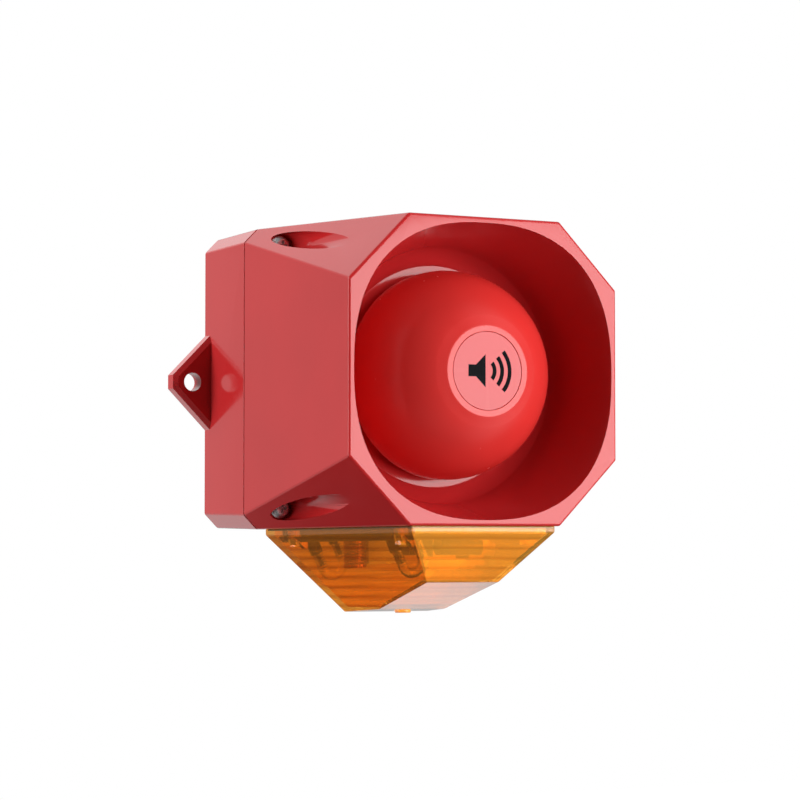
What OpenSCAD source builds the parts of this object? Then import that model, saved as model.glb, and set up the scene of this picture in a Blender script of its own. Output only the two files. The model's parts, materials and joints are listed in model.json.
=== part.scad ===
// Wall-mounted horn strobe: a re-entrant horn sounder in a flared octagonal
// housing, with a faceted amber xenon beacon hanging under it.
//
// Frame: the wall is the plane y = 0 and the unit stands out of it towards -Y.
// +X is to the viewer's right, +Z is up, and the origin is midway between the
// two wall screws. "Depth" always means distance out from the wall, so a point
// at depth d lies at y = -d.

/* [Housing] */
// Half width and half height of the front face
front_half = 67.5; // [64:0.5:70]
// Size of the corner cuts on the front face, measured along each side
front_cut = 29.6; // [28:0.2:31]
// Half width and half height where the housing meets the back box
seam_half = 68.7; // [68.3:0.1:69.5]
// Size of the corner cuts at the back box
seam_cut = 6.6; // [6:0.2:7]
// Front to back length of the housing
housing_depth = 101; // [100:0.5:103]
// Thickness of the moulded walls
wall = 3; // [2.6:0.1:3.2]

/* [Back box] */
// Half width and half height of the back box at the wall
box_half = 67.9; // [67.6:0.1:68.3]
// How far the back box stands out from the wall
box_depth = 44; // [43:0.5:46]
// Gap between the two mouldings that shows the seal
seam_gap = 0.5; // [0.3:0.1:0.8]

/* [Wall lugs] */
// Distance from the centre line to the tip of a lug
lug_tip = 86.8; // [85.5:0.1:88]
// Distance from the centre line to a wall screw
lug_hole_x = 77.5; // [77:0.1:78]
// Radius of a wall screw hole
lug_hole_r = 4.3; // [3.5:0.1:4.6]
// Thickness of a lug
lug_thick = 7.5; // [6:0.5:9]

/* [Horn] */
// Half width of the rounded-square mouth
mouth_half = 65; // [63:0.2:65.2]
// Squareness of the mouth, where 2 is a circle
mouth_power = 2.42; // [2:0.02:2.6]
// Radius of the round bowl behind the dome
bowl_r = 57.5; // [56:0.5:58.5]
// Largest radius of the dome
dome_r = 46.8; // [45:0.2:48]
// Radius of the flat face on the dome
dome_face_r = 20; // [19.5:0.5:21]

/* [Beacon] */
// Half width of the lens flange at the front
lens_front_half = 36; // [35:0.5:37]
// Half width of the lens flange at the back
lens_back_half = 59.5; // [58:0.5:60]
// Sideways slope of the lens sides, 1 being 45 degrees
lens_slope = 1.03; // [1:0.01:1.05]
// Thickness of the lens
lens_wall = 2.6; // [2.2:0.1:3]

/* [Cable entries] */
// Radius of the two M20 cable entries
entry_r = 10.2; // [10.1:0.05:10.4]

/* [Hidden] */
$fn = 64;

front_depth = box_depth + housing_depth;
rim_depth = box_depth + seam_gap;
eps = 0.01;

// Cover screws, M4, one in each corner
screw_xz = 59.3;
recess_r = 5.5;
recess_wall = 2.2;
recess_floor = 61.5;
screw_r = 2;
screw_head_r = 4;
screw_head_h = 2.8;
screw_tip = 30;
washer_r = 4.5;
washer_h = 0.8;
o_ring_r = 3.8;
o_ring_h = 1.9;
insert_r = 2.9;
insert_len = 11;
insert_grip = 0.42 * insert_len;
post_r = 6.6;

// Cable entries, on the centre line through the top and the bottom of the box
entry_depth = 22;
entry_boss_r = 14.5;
entry_boss_h = 5;
entry_face_r = 13.8;
plug_seal_h = 0.8;
plug_head_r = 13;
plug_head_h = 2.1;
plug_thread_r = 9.9;
plug_thread_h = 12;
plug_bore_r = 7.4;
plug_slot = [16, 2, 1];
plug_nut_r = 13.8;
plug_nut_h = 4.2;

// Horn
bulkhead_front = 98;
bulkhead_back = 95;
bowl_depth = 105;
floor_r = 50.5;
bowl_lap = 0.15;
flare_wall = 2.4;
flare_sides = 64;
flare_joint = 135;
flare_gap = 0.1;
dome_wide_depth = 109;
dome_rim_depth = 104.5;
dome_wall = 2.2;
dome_leg_xz = 28.6;
dome_leg_r = 3.3;
badge_r = 17.2;
badge_h = 0.8;
throat_r = 8;
throat_end_r = 11;
throat_flange_r = 16;
throat_front = 128;

// Compression driver, stacked on the back of the bulkhead
driver_plate_r = 34;
driver_plate_back = 90;
spacer_back = 88;
top_plate_back = 83;
magnet_back = 72;
back_plate_back = 67;
coil_r = 13;
coil_top = 88.7;
coil_foot = 84.2;
gap_half = 0.35;
plate_r = 28;
magnet_r = 29;
diaphragm_r = 16.8;
diaphragm_rise = 2.4;
diaphragm_angle = 75;
driver_screw_ring = 31.5;
driver_tag_x = 5;
driver_tag = [4, 10, 1];
driver_cover_r = 31;
driver_cover_h = 18;
driver_cover_wall = 1.8;

// Sounder board
board_front = 55;
board_back = 53.4;
board_half = 50;
board_cut = 6;
board_post_xz = 40;
board_post_r = 4;
lever_travel = 1.6;
lever_pitch = 2.54;
switch_x = -26;
switch_z = 22;
volume_x = -26;
volume_z = -4;
terminal_ways = 8;
terminal_pitch = 5.08;
terminal_z = -36;
terminal_size = [terminal_ways * terminal_pitch, 9, 10.5];
terminal_screw_z = 7.6;
switch_size = [9.8, 14, 6];
lever_room = [4.4, 1.5, 2.5];
lever_foot = [2.4, 1.2, 1.4];
lever_tip = [1.4, 1.2, 1.6];
trimmer_size = [9.6, 9.6, 4.8];
rotor_r = 3.5;
rotor_h = 2.6;
rotor_slot = [5.2, 0.8, 1];
core_size = [24, 16, 17];
core_leg = 6;

// Beacon, drawn in a frame that follows the sloping underside of the housing:
// its y runs back from the front face and its z is 0 on the underside
underside_tilt = atan((seam_half - front_half) / housing_depth);
lens_front_y = 1.6;
lens_back_y = 97;
flange_h = 2.7;
lens_taper = (lens_back_half - lens_front_half) / (lens_back_y - lens_front_y);
tray_plate = 2.6;
tray_rim = 4.6;
tray_inset = 6.6;
board_thick = 1.6;
parts_z = -tray_plate - board_thick;
lead_slot = [-8, 68, 16, 10];
lead_depth = 72;
lead_r = 0.8;
tube_places = [[-34.5, 87.5], [-10.5, 56]];
tube_tilt = 25;
tube_r = 2.1;
tube_bend_r = 5.2;
tube_length = 12.2;
socket_length = 4.4;
flash_cap_r = 4.2;
film_cap = [14, 6, 12];
coil_form_r = 5.2;
coil_form_h = 13;

// ---------------------------------------------------------------- helpers

// Draws its children with their z running out from the wall, starting at depth d
module out_from(d) {
    translate([0, -d, 0]) rotate([90, 0, 0]) children();
}

// Draws its children with their z running in towards the wall, starting at depth d
module in_from(d) {
    translate([0, -d, 0]) rotate([90, 0, 180]) children();
}

// Puts a copy of its children in each of the four corners at (+-v, +-v)
module corners(v) {
    for (x = [-v, v], y = [-v, v]) translate([x, y, 0]) children();
}

function octagon(half, cut) = [
    [half - cut, half], [half, half - cut], [half, cut - half], [half - cut, -half],
    [cut - half, -half], [-half, cut - half], [-half, half - cut], [cut - half, half]];

// An octagonal prism that changes size from one depth to another
module octagon_loft(d1, half1, cut1, d2, half2, cut2) {
    ring1 = [for (p = octagon(half1, cut1)) [p[0], -d1, p[1]]];
    ring2 = [for (p = octagon(half2, cut2)) [p[0], -d2, p[1]]];
    sides = [for (i = [0:7]) [i, (i + 1) % 8, 8 + (i + 1) % 8, 8 + i]];
    polyhedron(concat(ring1, ring2),
        concat(sides, [[for (i = [7:-1:0]) i]], [[for (i = [0:7]) 8 + i]]));
}

// Half width and corner cut of the housing's outside at a depth
function outer_half(d) = seam_half + (front_half - seam_half) * (d - box_depth) / housing_depth;
function outer_cut(d) = seam_cut + (front_cut - seam_cut) * (d - box_depth) / housing_depth;

// A corner cut shrinks by this share of the wall when the walls are offset inwards
inset_cut = 2 - sqrt(2);

// A rounded square of half width a, whose corners follow the power n
function squircle(a, n, sides) = [for (i = [0:sides - 1])
    let (t = 360 * i / sides, c = cos(t), s = sin(t))
    [a * sign(c) * pow(abs(c), 2 / n), a * sign(s) * pow(abs(s), 2 / n)]];

// A solid lofted through rings of [depth, half width, power], deepest first
module squircle_loft(rings) {
    count = len(rings);
    points = [for (r = rings, p = squircle(r[1], r[2], flare_sides)) [p[0], -r[0], p[1]]];
    sides = [for (k = [0:count - 2], i = [0:flare_sides - 1])
        let (j = (i + 1) % flare_sides, a = k * flare_sides, b = a + flare_sides)
        each [[a + i, b + j, a + j], [a + i, b + i, b + j]]];
    first = [for (i = [0:flare_sides - 1]) i];
    last = [for (i = [flare_sides - 1:-1:0]) (count - 1) * flare_sides + i];
    polyhedron(points, concat(sides, [first], [last]));
}

// The flare from the round bowl to the mouth, grown outwards by g
flare_steps = 6;
function flare_rings(g) = [for (k = [0:flare_steps])
    let (t = k / flare_steps, d = bowl_depth + (front_depth - bowl_depth) * t)
    [d, bowl_r + g + (mouth_half - bowl_r) * pow(t, 1.15), 2 + (mouth_power - 2) * t]];

// Pan head screw with a cross recess: head up, its underside at z = 0
module pan_screw(shank_r, length, head_r, head_h, blade = 0.9) {
    side_h = 0.55 * head_h;
    top_r = 0.72 * head_r;
    slot_half = 0.55 * head_r;
    difference() {
        union() {
            cylinder(r = head_r, h = side_h);
            translate([0, 0, side_h - eps]) cylinder(r1 = head_r, r2 = top_r, h = head_h - side_h);
            translate([0, 0, -length]) cylinder(r = shank_r, h = length + eps);
        }
        for (a = [0, 90]) rotate(a) translate([-slot_half, -blade / 2, head_h - side_h])
            cube([2 * slot_half, blade, head_h]);
    }
}

// ---------------------------------------------------------------- back box

lug_root = 60;
lug_tip_half = 3.2;
lug_bevel = [2.2, 1.6];

// Outline of a lug, its sloping edges and tip set in by the given amount
module lug_plan(inset) {
    tip = lug_tip - inset;
    half = lug_tip_half - inset * (sqrt(2) - 1);
    run = tip - lug_root;
    polygon([[lug_root, half + run], [tip, half], [tip, -half], [lug_root, -half - run]]);
}

module lug() {
    difference() {
        out_from(0) hull() {
            linear_extrude(lug_thick - lug_bevel[1]) lug_plan(0);
            linear_extrude(lug_thick) lug_plan(lug_bevel[0]);
        }
        out_from(-1) translate([lug_hole_x, 0, 0]) cylinder(r = lug_hole_r, h = lug_thick + 2);
    }
}

module back_box() {
    color([0.72, 0.08, 0.1]) difference() {
        union() {
            difference() {
                octagon_loft(0, box_half, seam_cut, box_depth, seam_half, seam_cut);
                octagon_loft(wall, box_half - wall, seam_cut - wall * inset_cut,
                    box_depth + 1, seam_half - wall, seam_cut - wall * inset_cut);
            }
            lug();
            mirror([1, 0, 0]) lug();
            intersection() {
                octagon_loft(eps, box_half - eps, seam_cut, box_depth - 1, seam_half - 0.1, seam_cut);
                out_from(wall - 1) corners(screw_xz) cylinder(r = post_r, h = box_depth - wall);
            }
            rim_step();
            for (s = [-1, 1]) translate([0, -entry_depth, s * (box_half - entry_boss_h / 2)])
                cylinder(r = entry_boss_r, h = entry_boss_h, center = true);
        }
        out_from(box_depth - insert_len - 1) corners(screw_xz) cylinder(r = insert_r, h = insert_len + 20);
        out_from(screw_tip - 2) corners(screw_xz) cylinder(r = screw_r + 0.4, h = 10);
        for (s = [-1, 1]) translate([0, -entry_depth, s * box_half]) {
            cylinder(r = entry_r, h = 30, center = true);
            translate([0, 0, s]) cylinder(r = entry_face_r, h = 2, center = true);
        }
        out_from(box_depth - seal_h) linear_extrude(seal_h + 3) seal_outline(0.05);
    }
}

// The inward step of the rim that carries the seal groove
step_in = 5.6;
module rim_step() {
    out_from(box_depth - 4) linear_extrude(3.4) difference() {
        polygon(octagon(seam_half - 1, seam_cut - 0.5));
        polygon(octagon(seam_half - step_in, seam_cut - step_in * inset_cut));
    }
}

seal_h = 2;

// Plan of the seal between the two mouldings, grown by the given amount
module seal_outline(g) {
    difference() {
        polygon(octagon(seam_half - 1.8 + g, seam_cut - 1));
        polygon(octagon(seam_half - 4.0 - g, seam_cut - 2.3));
    }
}

module box_seal() {
    color([0.12, 0.12, 0.12]) out_from(box_depth - seal_h)
        linear_extrude(seal_h + seam_gap) seal_outline(0);
}

module thread_inserts() {
    color([0.8, 0.62, 0.25]) out_from(box_depth - insert_len - 1) corners(screw_xz) difference() {
        union() {
            cylinder(r = insert_r, h = insert_grip);
            cylinder(r = insert_r - 0.35, h = insert_len);
            translate([0, 0, insert_len - insert_grip]) cylinder(r = insert_r, h = insert_grip);
        }
        translate([0, 0, -1]) cylinder(r = screw_r + 0.05, h = insert_len + 2);
    }
}

// ---------------------------------------------------------------- blanking plug in the top entry

module in_top_entry() {
    translate([0, -entry_depth, box_half]) children();
}

module blanking_plug() {
    color([0.14, 0.14, 0.15]) in_top_entry() difference() {
        union() {
            translate([0, 0, plug_seal_h]) cylinder(r = plug_head_r, h = plug_head_h);
            translate([0, 0, -plug_thread_h])
                cylinder(r = plug_thread_r, h = plug_thread_h + 0.5 + plug_seal_h);
        }
        translate([0, 0, -plug_thread_h - 1]) cylinder(r = plug_bore_r, h = plug_thread_h + 1);
        translate([0, 0, plug_seal_h + plug_head_h]) cube(
            [plug_slot[0], plug_slot[1], 2 * plug_slot[2]], center = true);
    }
}

module blanking_plug_seal() {
    color([0.2, 0.2, 0.2]) in_top_entry() difference() {
        cylinder(r = plug_head_r - 0.6, h = plug_seal_h);
        translate([0, 0, -1]) cylinder(r = plug_thread_r + 0.05, h = plug_seal_h + 2);
    }
}

module blanking_plug_nut() {
    below = entry_boss_h + plug_nut_h;
    color([0.14, 0.14, 0.15]) in_top_entry() translate([0, 0, -below]) difference() {
        cylinder(r = plug_nut_r, h = plug_nut_h, $fn = 6);
        translate([0, 0, -1]) cylinder(r = plug_thread_r + 0.05, h = plug_nut_h + 2);
    }
}

// ---------------------------------------------------------------- front housing

// The open inside of the horn, from its bulkhead to just past the front face
module horn_cavity() {
    fillet_r = bowl_r - bowl_lap - floor_r;
    fillet_h = bowl_depth - bulkhead_front;
    squircle_loft(concat(flare_rings(0), [[front_depth + 2, mouth_half, mouth_power]]));
    out_from(0) rotate_extrude() polygon(concat(
        [[0, bulkhead_front], [floor_r, bulkhead_front]],
        [for (a = [10:10:80]) [floor_r + fillet_r * sin(a), bowl_depth - fillet_h * cos(a)]],
        [[bowl_r - bowl_lap, bowl_depth], [bowl_r - bowl_lap, bowl_depth + 0.5], [0, bowl_depth + 0.5]]));
}

// The horn as if it were solid, from the back of its bulkhead to the front face
module horn_outside() {
    outside_r = bowl_r + flare_wall;
    squircle_loft(flare_rings(flare_wall));
    out_from(0) rotate_extrude() polygon([
        [0, bulkhead_back], [floor_r + 1.4, bulkhead_back], [outside_r - 1.2, bulkhead_back + 5],
        [outside_r - bowl_lap, bowl_depth], [outside_r - bowl_lap, bowl_depth + 0.5],
        [0, bowl_depth + 0.5]]);
}

// The hollow inside of the housing's walls, between two depths, less a gap
module between_walls(d1, d2, gap) {
    octagon_loft(
        d1, outer_half(d1) - wall - gap, outer_cut(d1) - (wall + gap) * inset_cut,
        d2, outer_half(d2) - wall - gap, outer_cut(d2) - (wall + gap) * inset_cut);
}

// What is hollowed out behind the front wall: the collar round the horn's mouth,
// the screw posts and the bosses over the lens screws stay
module housing_room() {
    difference() {
        between_walls(rim_depth - 1, front_depth - wall, 0);
        intersection() {
            horn_outside();
            out_from(flare_joint) linear_extrude(front_depth - flare_joint - 0.5)
                square(3 * mouth_half, center = true);
        }
        out_from(rim_depth - 5) corners(screw_xz) cylinder(r = recess_r + recess_wall, h = housing_depth);
        under_housing() translate([0, 0, 1]) {
            lens_screw_places() cylinder(r = 4, h = wall + 1);
            tray_screw_places() cylinder(r = 3, h = wall + 1.5);
        }
    }
}

module front_housing() {
    color([0.75, 0.08, 0.1]) difference() {
        octagon_loft(rim_depth, outer_half(rim_depth), outer_cut(rim_depth),
            front_depth, front_half, front_cut);
        housing_room();
        horn_cavity();
        out_from(recess_floor) corners(screw_xz) cylinder(r = recess_r, h = housing_depth);
        out_from(rim_depth - 1) corners(screw_xz) cylinder(r = screw_r + 0.35, h = housing_depth / 2);
        out_from(rim_depth - 1) corners(screw_xz) cylinder(r = o_ring_r + 0.1, h = o_ring_h + 1.5);
        under_housing() {
            translate([0, 0, -1]) linear_extrude(wall + 3) lead_slot_plan();
            translate([0, 0, -1]) lens_screw_places() cylinder(r = 1.7, h = wall + 4);
            translate([0, 0, -1]) tray_screw_places() cylinder(r = 1.05, h = wall + 3);
        }
    }
}

// Moulding behind the mouth: flare, bowl and bulkhead, with the posts for the board
module horn_flare() {
    color([0.75, 0.08, 0.1]) difference() {
        union() {
            intersection() {
                horn_outside();
                between_walls(bulkhead_back - 1, flare_joint, flare_gap);
            }
            out_from(board_front) corners(board_post_xz)
                cylinder(r = board_post_r, h = bowl_depth - board_front);
        }
        horn_cavity();
        out_from(bulkhead_back - 1) cylinder(r = throat_end_r + 2.2, h = 5);
        out_from(bulkhead_back - 1) corners(dome_leg_xz) cylinder(r = 1.7, h = 5);
        out_from(board_front - 1) corners(board_post_xz) cylinder(r = 1.4, h = 12);
    }
}

module cover_screws() {
    color([0.8, 0.8, 0.82]) out_from(recess_floor + washer_h) corners(screw_xz)
        pan_screw(screw_r, recess_floor + washer_h - screw_tip, screw_head_r, screw_head_h, 1.1);
}

module cover_screw_washers() {
    color([0.7, 0.7, 0.72]) out_from(recess_floor) corners(screw_xz) difference() {
        cylinder(r = washer_r, h = washer_h);
        translate([0, 0, -1]) cylinder(r = screw_r + 0.05, h = 3);
    }
}

// Rings that keep the screws in the cover when it is off
module cover_screw_o_rings() {
    color([0.1, 0.1, 0.1]) out_from(rim_depth + 0.1) corners(screw_xz) difference() {
        cylinder(r = o_ring_r, h = o_ring_h);
        translate([0, 0, -1]) cylinder(r = screw_r + 0.02, h = 4);
    }
}

// ---------------------------------------------------------------- horn

// Outer line of the dome: an elliptical arc that leaves the crease round its face
// at the crease angle, and stands square to the wall where the dome is widest
crease_r = 25;
crease_depth = 144.4;
crease_angle = 25;
face_depth = 146.4;
dome_side = dome_r - crease_r;
dome_rise = crease_depth - dome_wide_depth;
dome_fall = tan(crease_angle) * dome_side / dome_rise;
dome_start = acos(dome_fall / (1 - dome_fall));
dome_across = dome_side / (1 - cos(dome_start));
dome_deep = dome_rise / sin(dome_start);
dome_steps = 14;
function dome_line(inset) = [for (k = [0:dome_steps])
    let (a = dome_start * (1 - k / dome_steps), rise = sin(a) / sin(dome_start))
    [dome_r - dome_across * (1 - cos(a)) - inset,
     dome_wide_depth + dome_deep * sin(a) - inset * rise]];

// Face of the dome from its centre to the crease, with the pocket for the badge
dome_face = [
    [0, face_depth - badge_h], [badge_r + 0.15, face_depth - badge_h], [badge_r + 0.15, face_depth],
    [dome_face_r, face_depth], [dome_face_r + 2, face_depth - 0.7]];

module horn_dome() {
    inner = dome_line(dome_wall);
    rim = [[dome_r - 0.3, dome_rim_depth], [dome_r - dome_wall, dome_rim_depth]];
    deflector = [[dome_face_r, face_depth - 4], [12, face_depth - 4.4], [0, face_depth - 16]];
    color([0.78, 0.09, 0.1]) difference() {
        union() {
            out_from(0) rotate_extrude() polygon(concat(dome_face, dome_line(0), rim,
                [for (k = [len(inner) - 1:-1:0]) inner[k]], deflector));
            intersection() {
                out_from(bulkhead_front) corners(dome_leg_xz) cylinder(r = dome_leg_r, h = 40);
                out_from(0) rotate_extrude() polygon(concat([[0, 140], [20, 140]], dome_line(dome_wall / 2),
                    [[dome_r, dome_wide_depth - 0.1], [dome_r, bulkhead_front - 1],
                    [0, bulkhead_front - 1]]));
            }
        }
        out_from(bulkhead_front - 1) corners(dome_leg_xz) cylinder(r = 1.3, h = 12);
    }
}

module dome_badge() {
    color([0.85, 0.35, 0.36]) out_from(face_depth - badge_h) cylinder(r = badge_r, h = badge_h);
}

module dome_screws() {
    color([0.7, 0.7, 0.72]) in_from(bulkhead_back) corners(dome_leg_xz)
        pan_screw(1.3, bulkhead_front - bulkhead_back + 8, 2.8, 2);
}

module throat_tube() {
    color([0.15, 0.15, 0.15]) out_from(0) rotate_extrude() polygon([
        [throat_r, bulkhead_back - 2], [throat_flange_r, bulkhead_back - 2],
        [throat_flange_r, bulkhead_back],
        [throat_end_r + 2.1, bulkhead_back], [throat_end_r + 2.1, bulkhead_front + 1],
        [throat_r + 2.4, bulkhead_front + 3], [throat_end_r + 1.8, throat_front],
        [throat_end_r, throat_front], [throat_r, bulkhead_back + 4]]);
}

// ---------------------------------------------------------------- compression driver

module ring(inner, outer, from, to) {
    out_from(from) difference() {
        cylinder(r = outer, h = to - from);
        translate([0, 0, -1]) cylinder(r = inner, h = to - from + 2);
    }
}

module driver_screw_places() {
    for (a = [90, 210, 330]) rotate(a) translate([driver_screw_ring, 0, 0]) children();
}

module driver_front_plate() {
    color([0.2, 0.2, 0.21]) difference() {
        out_from(driver_plate_back)
            cylinder(r = driver_plate_r, h = bulkhead_back - driver_plate_back);
        out_from(driver_plate_back - 1) cylinder(r = throat_r, h = 10);
        out_from(driver_plate_back - 1) cylinder(r = diaphragm_r + 0.7, h = 2.8);
        out_from(bulkhead_back - 2) cylinder(r = throat_flange_r + 0.15, h = 3);
        out_from(driver_plate_back - 1) driver_screw_places() cylinder(r = 1.7, h = 8);
    }
}

// Insulating ring that clamps the diaphragm's edge and carries the two terminals
module driver_spacer_ring() {
    color([0.55, 0.4, 0.2]) {
        ring(diaphragm_r + 0.4, plate_r + 0.5, spacer_back, driver_plate_back);
        out_from(spacer_back + 0.5) for (s = [-1, 1])
            translate([s * driver_tag_x - driver_tag[0] / 2, plate_r - 1, 0]) cube(driver_tag);
    }
}

// Line of the diaphragm's dome from its centre to the voice coil, at a depth
function diaphragm_line(d) = [for (k = [0:6])
    let (a = diaphragm_angle * k / 6)
    [coil_r * sin(a) / sin(diaphragm_angle), d + diaphragm_rise * (cos(a) - cos(diaphragm_angle))]];

// Domed diaphragm with its flat edge, free to move a little each way
module driver_diaphragm() {
    back = diaphragm_line(coil_top);
    front = diaphragm_line(coil_top + 0.3);
    color([0.5, 0.3, 0.15]) out_from(0) rotate_extrude() polygon(concat(
        back, [[diaphragm_r, coil_top], [diaphragm_r, coil_top + 0.3]], [for (k = [6:-1:0]) front[k]]));
}

module voice_coil() {
    color([0.75, 0.4, 0.2]) ring(coil_r - 0.2, coil_r + 0.15, coil_foot, coil_top);
}

module driver_top_plate() {
    color([0.6, 0.6, 0.62]) ring(coil_r + 0.15 + gap_half, plate_r, top_plate_back, spacer_back);
}

module driver_magnet() {
    color([0.25, 0.25, 0.27]) ring(16, magnet_r, magnet_back, top_plate_back);
}

module driver_back_plate() {
    color([0.6, 0.6, 0.62]) difference() {
        union() {
            out_from(back_plate_back) cylinder(r = plate_r, h = magnet_back - back_plate_back);
            out_from(magnet_back - 1)
                cylinder(r = coil_r - 0.2 - gap_half, h = spacer_back - magnet_back + 1);
        }
        out_from(back_plate_back - 1) cylinder(r = 2.5, h = 30);
    }
}

module driver_cover() {
    color([0.13, 0.13, 0.14]) difference() {
        out_from(back_plate_back - 2.2) cylinder(r = driver_cover_r, h = driver_cover_h);
        out_from(back_plate_back) cylinder(r = driver_cover_r - driver_cover_wall, h = driver_cover_h + 2);
        out_from(back_plate_back - 3) cylinder(r = 8, h = 10);
    }
}

module driver_screws() {
    color([0.75, 0.75, 0.78]) in_from(driver_plate_back) driver_screw_places()
        pan_screw(1.45, bulkhead_back - driver_plate_back - 0.2, 2.4, 1.9);
}

// Two leads from the driver's terminals to the sounder board
module driver_leads() {
    color([0.8, 0.1, 0.1]) out_from(board_front) for (s = [-1, 1])
        translate([s * driver_tag_x, plate_r + 7.5, 0])
            cylinder(r = lead_r, h = spacer_back + 0.5 - board_front);
}

// ---------------------------------------------------------------- sounder board

module sounder_board() {
    color([0.1, 0.42, 0.2]) out_from(board_back) difference() {
        linear_extrude(board_front - board_back) polygon(octagon(board_half, board_cut));
        translate([0, 0, -1]) corners(board_post_xz) cylinder(r = 1.7, h = 4);
    }
}

// Draws its children on the back of the board, with their z running towards the wall
module on_board(x, z) {
    translate([x, 0, z]) in_from(board_back) children();
}

// A block that stands on the board, centred on its place
module on_base(size) {
    translate([-size[0] / 2, -size[1] / 2, 0]) cube(size);
}

// Puts its children at each way of the terminal block
module at_terminals() {
    for (i = [0:terminal_ways - 1])
        translate([(i + 0.5 - terminal_ways / 2) * terminal_pitch, 0, 0]) children();
}

module board_screws() {
    color([0.8, 0.8, 0.82]) on_board(0, 0) corners(board_post_xz) pan_screw(1.35, 10, 2.8, 2);
}

module terminal_block() {
    color([0.2, 0.45, 0.25]) on_board(0, terminal_z) difference() {
        on_base(terminal_size);
        at_terminals() {
            translate([0, 1, terminal_screw_z]) cylinder(r = 2, h = 5);
            translate([-1.7, -6.5, 1.6]) cube([3.4, 5, 4]);
        }
    }
}

module terminal_screws() {
    color([0.8, 0.8, 0.78]) on_board(0, terminal_z)
        at_terminals() translate([0, 1, terminal_screw_z]) difference() {
            cylinder(r = 1.8, h = 1.8);
            translate([-2.5, -0.3, 1]) cube([5, 0.6, 2]);
        }
}

// Centre of lever i, counted from 0 at the top
function lever_place(i) = (2 - i) * lever_pitch;

module tone_switch_body() {
    color([0.75, 0.1, 0.1]) on_board(switch_x, switch_z) difference() {
        on_base(switch_size);
        for (i = [0:4]) translate([0, lever_place(i), switch_size[2] - lever_room[2]])
            on_base([lever_room[0], lever_room[1], lever_room[2] + 1]);
    }
}

module tone_lever(i) {
    color([0.95, 0.95, 0.95]) on_board(switch_x, switch_z)
        translate([-2.0, lever_place(i) - lever_foot[1] / 2, switch_size[2] - lever_room[2] + 0.1]) {
            cube(lever_foot);
            translate([0.5, 0, lever_foot[2] - 0.1]) cube(lever_tip);
        }
}

module volume_trimmer_body() {
    color([0.15, 0.3, 0.6]) on_board(volume_x, volume_z) difference() {
        on_base(trimmer_size);
        translate([0, 0, 2.6]) cylinder(r = rotor_r + 0.1, h = 4);
    }
}

module volume_rotor() {
    color([0.9, 0.9, 0.88]) on_board(volume_x, volume_z) translate([0, 0, 2.7]) difference() {
        cylinder(r = rotor_r, h = rotor_h);
        translate([0, 0, rotor_h - rotor_slot[2]]) {
            on_base([rotor_slot[0], rotor_slot[1], 2]);
            translate([-rotor_slot[1] / 2, -rotor_slot[1] / 2, 0]) cube([rotor_slot[1], 2.4, 2]);
        }
    }
}

module capacitors() {
    color([0.15, 0.15, 0.2]) {
        on_board(34, 16) cylinder(r = 8, h = 24);
        on_board(34, -4) cylinder(r = 6.3, h = 18);
        on_board(-38, 4) cylinder(r = 4, h = 12);
        on_board(14, -22) cylinder(r = 3.2, h = 9);
    }
}

module transformer_core() {
    color([0.3, 0.3, 0.32]) on_board(4, 26) difference() {
        on_base(core_size);
        for (s = [-1, 1]) translate([s * core_leg, 0, 3]) on_base([core_leg, 18, 11]);
    }
}

module transformer_winding() {
    color([0.8, 0.65, 0.2]) on_board(4, 26) difference() {
        translate([0, 0, 3.2]) on_base([17.6, 22, 10.6]);
        on_base([core_leg + 0.1, core_size[1] + 0.1, 20]);
    }
}

module logic_chips() {
    color([0.1, 0.1, 0.1]) {
        on_board(6, -4) on_base([10, 16, 3]);
        on_board(-10, -18) on_base([8, 6, 2]);
        on_board(16, 6) on_base([6, 5, 2]);
    }
}

// ---------------------------------------------------------------- beacon

module under_housing() {
    translate([0, -front_depth, -front_half]) rotate([-underside_tilt, 0, 0]) children();
}

// Half width of the lens at a place along it and a height below its top
function lens_half(y, z) =
    lens_front_half + lens_taper * (y - lens_front_y) + lens_slope * min(0, z + flange_h);

// Side view of the lens: top front, flange, front foot, knee, back foot, flange, top back
lens_profile = [[1.6, 0], [1.6, -2.7], [20.5, -24.4], [67.4, -36.6], [91.5, -37.8], [97, -2.7], [97, 0]];
// The same line, moved inwards by the wall
lens_inside = [[5.2, 1], [5.2, -2.7], [21.9, -21.9], [67.6, -34.0], [89.2, -35.1], [94.3, -2.7], [94.3, 1]];

// A solid between the two sloping sides, narrowed by the given amount
module lens_solid(profile, narrow) {
    right = [for (p = profile) [lens_half(p[0], p[1]) - narrow, p[0], p[1]]];
    left = [for (p = right) [-p[0], p[1], p[2]]];
    polyhedron(concat(right, left), concat(
        [[0, 6, 5, 1], [1, 5, 4, 3, 2], [7, 8, 12, 13], [8, 9, 10, 11, 12]],
        [for (i = [0:6]) let (j = (i + 1) % 7) [i, j, 7 + j, 7 + i]]));
}

module lens_screw_places() {
    for (s = [-1, 1]) {
        translate([s * (lens_half(16, 0) - 8.2), 16, 0]) children();
        translate([s * (lens_half(86, 0) - 9.2), 86, 0]) children();
    }
}

module tray_screw_places() {
    for (p = [[18, 34], [20, 87]], s = [-1, 1]) translate([s * p[0], p[1], 0]) children();
}

module beacon_lens() {
    color([1, 0.55, 0.05, 0.6]) under_housing() difference() {
        union() {
            difference() {
                lens_solid(lens_profile, 0);
                lens_solid(lens_inside, lens_wall * 1.46);
            }
            intersection() {
                translate([0, 0, -8]) lens_screw_places() cylinder(r = 4.4, h = 8);
                lens_solid(lens_profile, 0.5);
            }
            translate([0, 76, -38.3]) cylinder(r = 3.7, h = 3);
        }
        translate([0, 0, -7]) lens_screw_places() cylinder(r = 1.25, h = 8);
        translate([0, 0, -0.8]) linear_extrude(2) lens_ring(1.0, 2.4);
    }
}

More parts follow.
